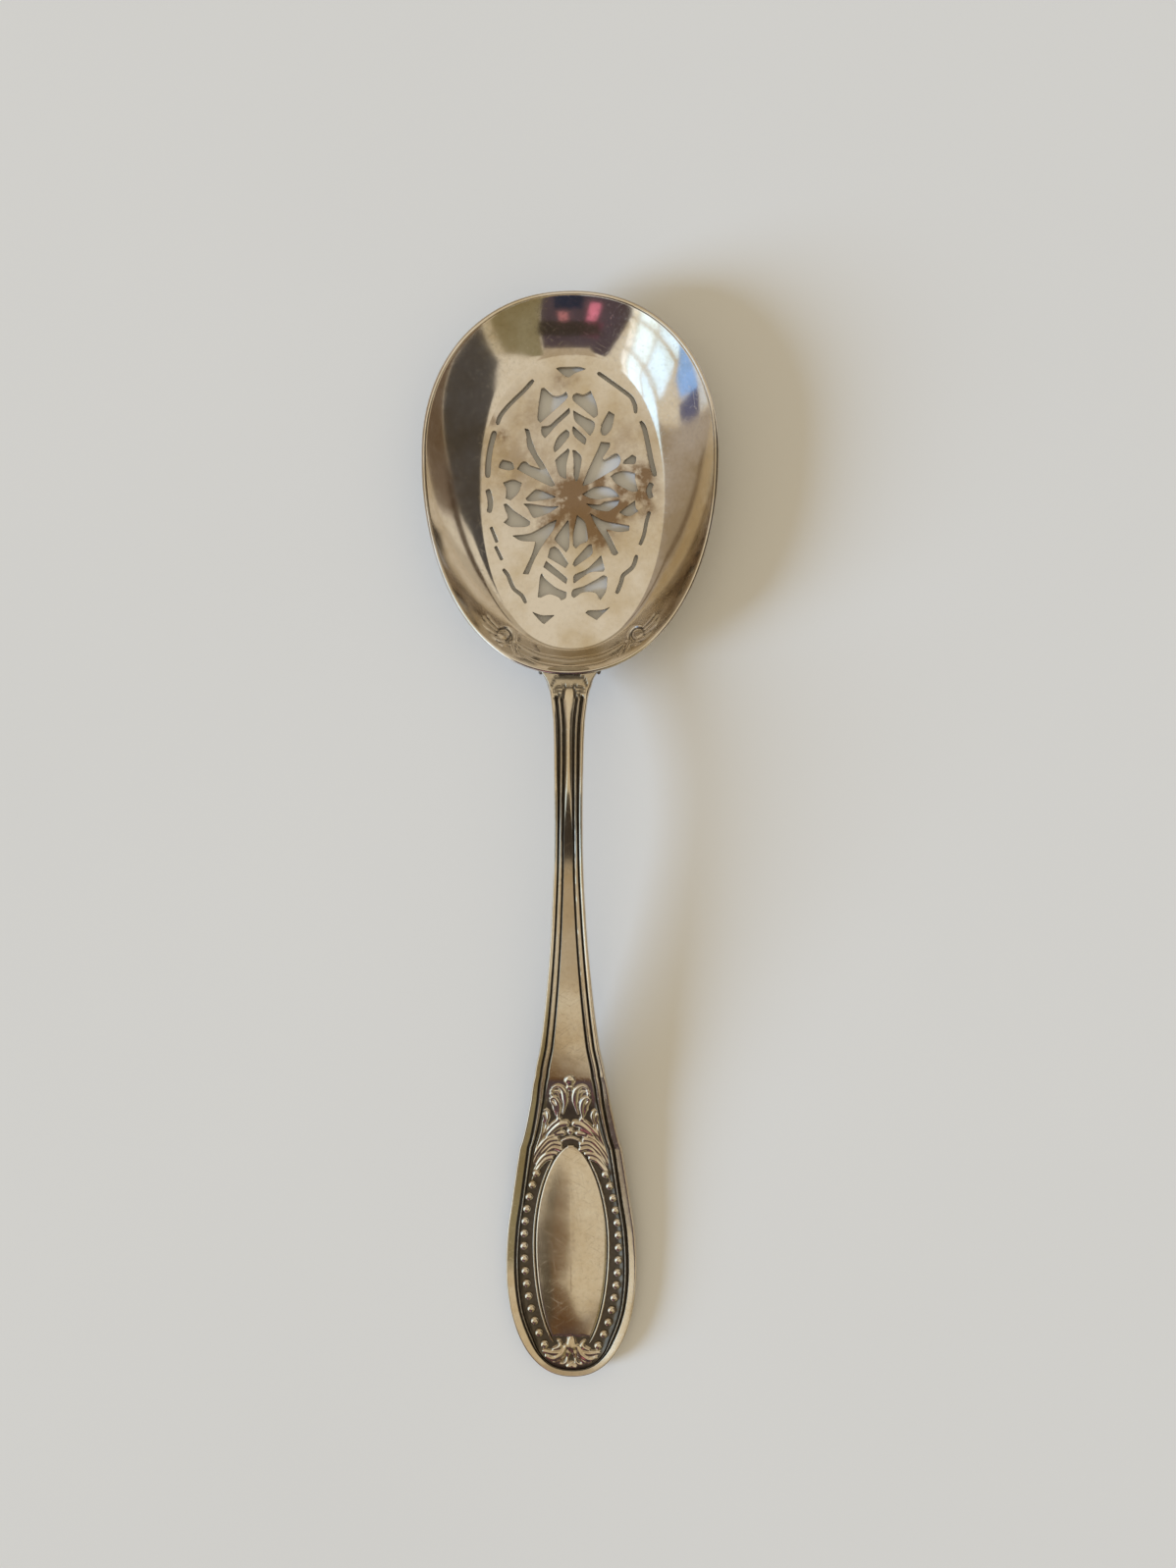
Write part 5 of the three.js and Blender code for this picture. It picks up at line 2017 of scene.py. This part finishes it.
@dataclass(frozen=True)
class Card:
    """A glowing card that only the metal mirrors, as a patch of a dome round the table.

    Angles are degrees: azimuth from +X towards +Y, elevation from the table up. lean is how much
    further round its two sides stand at the top, and slope how much higher its lower and its
    upper edge stand at the far side. The dome's middle is at middle_y, in metres.
    """

    name: str
    azimuth: tuple[float, float]
    elevation: tuple[float, float]
    colour: Colour
    strength: float = 1.0
    distance: float = 0.9
    lean: tuple[float, float] = (0, 0)
    slope: tuple[float, float] = (0, 0)
    middle_y: float = -0.05
    count: int = 13

    def build(self) -> None:
        """Makes the card."""
        count = self.count
        across, up = np.meshgrid(np.linspace(0, 1, count), np.linspace(0, 1, count))
        left, right = (side + lean * up for side, lean in zip(self.azimuth, self.lean))
        low, high = (edge + slope * across for edge, slope in zip(self.elevation, self.slope))
        azimuth = np.radians(left + (right - left) * across)
        elevation = np.radians(low + (high - low) * up)
        level = np.cos(elevation) * self.distance
        x, y = level * np.cos(azimuth), level * np.sin(azimuth) + self.middle_y
        points = np.stack([x, y, np.sin(elevation) * self.distance], axis=-1)
        starts = [i * count + j for i in range(count - 1) for j in range(count - 1)]
        faces = [(i, i + 1, i + count + 1, i + count) for i in starts]
        mesh = bpy.data.meshes.new(self.name)
        mesh.from_pydata(points.reshape(-1, 3).tolist(), [], faces)
        make_card(mesh, self.name, self.colour, self.strength)


def make_card(mesh: Mesh, name: str, colour: Colour, strength: float) -> None:
    """Turns a mesh into a card that shows only in gloss.

    Args:
        mesh: its shape.
        name: its name.
        colour: its colour.
        strength: how strongly it glows.
    """
    card = new_object(name, mesh)
    material = bpy.data.materials.new(name)
    material.use_nodes = True
    nodes = material.node_tree.nodes
    nodes.remove(nodes["Principled BSDF"])
    kit = ShaderLink(material.node_tree)
    glow = kit.node("ShaderNodeEmission", Color=(*colour, 1), Strength=strength)
    kit.join(glow.outputs[0], nodes["Material Output"].inputs["Surface"])
    mesh.materials.append(material)
    card.visible_camera = False
    card.visible_diffuse = False
    card.visible_shadow = False
    card.visible_transmission = False


CARDS = [
    Card("dark_side", (-41, 23), (19, 40), (0.085, 0.075, 0.066), lean=(10, 34), slope=(0, 30)),
    Card("brown_low", (-42, 24), (0, 18.5), (0.17, 0.12, 0.08)),
    Card("beige_corner", (24, 62), (0, 60), (0.5, 0.42, 0.3), lean=(34, 0)),
    Card("dark_line_left", (19, 52), (15, 20), (0.08, 0.05, 0.03), distance=0.87, slope=(-7, -9)),
    Card("far_side", (62, 128), (0, 36), (0.38, 0.31, 0.21)),
    Card("left_far", (128, 172), (0, 52), (0.43, 0.36, 0.28)),
    Card("dark_line_right", (129, 163), (26, 33), (0.2, 0.145, 0.095), distance=0.87,
         slope=(-25, -28)),
    Card("blue_side", (180, 205), (8, 24), (0.33, 0.55, 0.98), lean=(0, -18)),
    Card("blue_dark", (170, 181), (11, 25), (0.12, 0.12, 0.2), lean=(3, -3)),
    Card("white_side", (173, 200), (2, 10.5), (0.75, 0.78, 0.8), distance=0.89),
    Card("ochre_near", (272, 307), (0, 56), (0.28, 0.235, 0.13), lean=(24, 15), slope=(0, -16)),
    Card("pale_stripe", (307, 313), (4, 38), (0.62, 0.54, 0.38), distance=0.89, lean=(13, 13)),
    Card("plum_near", (231, 273), (0, 53), (0.092, 0.067, 0.076), distance=0.89, lean=(-3, 20)),
    Card("navy_near", (260, 271), (3, 23), (0.03, 0.034, 0.055), distance=0.88, lean=(0, 3)),
    Card("rose_near", (250, 256.5), (18, 30), (0.8, 0.24, 0.33), distance=0.87),
    Card("rose_dim", (244, 259), (30, 40), (0.16, 0.06, 0.08), distance=0.88),
    Card("rose_spot", (267, 272), (25, 31), (0.5, 0.2, 0.2), distance=0.87),
    Card("brown_above", (254, 280), (49, 57.5), (0.14, 0.07, 0.024), distance=0.87,
         lean=(-6, -19)),
    Card("grey_above", (242, 254), (49, 57.5), (0.08, 0.062, 0.038), distance=0.87, lean=(0, -6)),
    Card("low_light", (196, 262), (-1, 4.5), (1.0, 1.05, 1.1), distance=0.84),
]


@dataclass(frozen=True)
class Window:
    """Panes of a window that the metal mirrors, in columns and rows with dark bars between.

    Each level is elevation, azimuth of the left and of the right side there.
    """

    levels: tuple[tuple[float, float, float], ...] = (
        (4, 235, 205), (20, 230, 194), (37, 221, 182), (60, 198, 150)
    )
    columns: tuple[tuple[float, float], ...] = ((0, 0.1), (0.14, 0.5), (0.55, 1))
    bar: float = 2.4
    distance: float = 0.86
    tones: tuple[tuple[Colour, float], ...] = (
        ((1.0, 1.02, 1.0), 1.5), ((0.8, 1.0, 1.15), 1.7), ((0.76, 0.98, 1.2), 1.5)
    )

    def build(self) -> None:
        """Makes the panes."""
        for row, (low, high) in enumerate(zip(self.levels[:-1], self.levels[1:])):
            for column, (start, end) in enumerate(self.columns):
                foot = [low[1] + (low[2] - low[1]) * share for share in (start, end)]
                head = [high[1] + (high[2] - high[1]) * share for share in (start, end)]
                lean = (head[0] - foot[0], head[1] - foot[1])
                elevation = (low[0] + self.bar / 2, high[0] - self.bar / 2)
                colour, strength = self.tones[column]
                Card(
                    f"pane_{row}_{column}", (foot[0], foot[1]), elevation, colour, strength,
                    distance=self.distance, lean=lean,
                ).build()


@dataclass
class Studio:
    """The pale table, the soft light and the camera."""

    camera_place: tuple[float, float, float] = (12.33, -49.42, 205)
    camera_aim: tuple[float, float, float] = (2.9, -50.84, 0)
    lens: float = 26.0
    table_size: float = 3.0
    table_colour: Colour = (0.63, 0.62, 0.59)
    table_mottle: float = 0.03
    room_colour: Colour = (0.74, 0.65, 0.50)
    daylight: Colour = (0.52, 0.70, 1.0)
    daylight_power: float = 5.5
    daylight_spread: float = 20.0
    light_azimuth: float = 198.0
    light_elevation: float = 17.0

    def build(self) -> None:
        """Sets up everything that isn't the spoon."""
        self.table()
        self.world()
        self.window_light()
        for card in CARDS:
            card.build()
        Window().build()
        dark, beige = (0.05, 0.038, 0.028), (0.5, 0.41, 0.29)
        self.overhead("dark_above", (-0.03, 0.02), (-0.0714, -0.0465), 0.06, dark)
        self.overhead("beige_above", (-0.075, 0.065), (-0.188, -0.088), 0.216, beige)
        self.camera()

    def table(self) -> None:
        """A wide painted table top."""
        mesh = bpy.data.meshes.new("table")
        size = self.table_size
        corners = [(-size, -size, 0), (size, -size, 0), (size, size, 0), (-size, size, 0)]
        mesh.from_pydata(corners, [], [(0, 1, 2, 3)])
        table = new_object("table", mesh)
        material = bpy.data.materials.new("painted_table")
        material.use_nodes = True
        kit = ShaderLink(material.node_tree)
        shader = material.node_tree.nodes["Principled BSDF"]
        place = kit.node("ShaderNodeTexCoord").outputs["Object"]
        light = tuple(c * (1 + self.table_mottle) for c in self.table_colour)
        shade = tuple(c * (1 - self.table_mottle) for c in self.table_colour)
        mottled = kit.mix(kit.noise(place, Scale=6, Detail=4), shade, light)
        kit.join(mottled, shader.inputs["Base Color"])
        shader.inputs["Roughness"].default_value = 0.6
        shader.inputs["Specular IOR Level"].default_value = 0.1
        mesh.materials.append(material)

    def world(self) -> None:
        """A warm room all round."""
        world = bpy.data.worlds.new("room")
        world.use_nodes = True
        bpy.context.scene.world = world
        background = world.node_tree.nodes["Background"]
        background.inputs["Color"].default_value = (*self.room_colour, 1)
        background.inputs["Strength"].default_value = 1.0

    def window_light(self) -> None:
        """Daylight from low on the left, which the cards show in the metal instead."""
        light = bpy.data.lights.new("daylight", "SUN")
        light.energy = self.daylight_power
        light.color = self.daylight
        light.angle = math.radians(self.daylight_spread)
        lamp = new_object("daylight", light)
        azimuth, elevation = math.radians(self.light_azimuth), math.radians(self.light_elevation)
        level = math.cos(elevation)
        towards = (level * math.cos(azimuth), level * math.sin(azimuth), math.sin(elevation))
        lamp.rotation_euler = Vector(towards).to_track_quat("Z", "Y").to_euler()
        lamp.visible_glossy = False

    @staticmethod
    def overhead(
        name: str, across: tuple[float, float], along: tuple[float, float], height: float,
        colour: Colour,
    ) -> None:
        """A level card above the stem, which the stem mirrors, in metres.

        Args:
            name: its name.
            across: X of its sides.
            along: Y of its near and of its far edge.
            height: how high it hangs.
            colour: its colour.
        """
        (left, right), (near, far) = across, along
        mesh = bpy.data.meshes.new(name)
        corners = [(left, near), (right, near), (right, far), (left, far)]
        mesh.from_pydata([(*corner, height) for corner in corners], [], [(0, 1, 2, 3)])
        make_card(mesh, name, colour, 1.0)

    def camera(self) -> None:
        """The camera close above the stem, as the photograph was taken."""
        data = bpy.data.cameras.new("camera")
        data.lens = self.lens
        data.sensor_width = 36
        data.clip_start = 0.005
        camera = new_object("camera", data)
        place, aim = Vector(self.camera_place) * MM, Vector(self.camera_aim) * MM
        back = (place - aim).normalized()
        right = Vector((0, 1, 0)).cross(back).normalized()
        up = back.cross(right)
        camera.matrix_world = Matrix((*zip(right, up, back, place), (0, 0, 0, 1)))
        bpy.context.scene.camera = camera


def main() -> None:
    """Builds the spoon's looks round its solids, and the table, light and camera."""
    logging.basicConfig(level=logging.INFO, format="%(name)s: %(message)s")
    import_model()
    bpy.context.scene.view_settings.view_transform = "Standard"
    Studio().build()
    wear, tarnish = WearGroup().build(), TarnishGroup().build()
    bowl_silver = BOWL_FINISH.build(wear, tarnish)
    struck_silver = HANDLE_FINISH.build(wear, tarnish)
    solder = SOLDER_AND_GAP_SHADE_FINISH.build(wear, tarnish)
    bowl = Bowl.from_frame()
    keep_piece(bowl.build(bowl_silver), Slot.BOWL, ["bowl"])
    keep_piece(bowl.build_curls(bowl_silver), Slot.BOWL)
    handle = Handle(HandleForm.from_frame(bowl), bowl)
    keep_piece(handle.build_body(struck_silver), Slot.HANDLE, ["handle"])
    ornament = FaceOrnament(handle)
    form = handle.form
    crest_y, foot_y = float(form.along(1)), float(form.along(3))
    for piece in (
        ornament.relief("handle_crest_leaves", CREST_STROKES, crest_y, CREST_BOX, struck_silver),
        ornament.relief("handle_palmette", PALMETTE_STROKES, foot_y, PALMETTE_BOX, struck_silver),
        ornament.build_cartouche(struck_silver),
        ornament.build_frame(struck_silver),
        ornament.build_beads(struck_silver),
    ):
        keep_piece(piece, Slot.HANDLE)
    keep_piece(SolderSeam(handle).build(solder), Slot.SOLDER, ["solder_seam"])


if __name__ == "__main__":
    main()
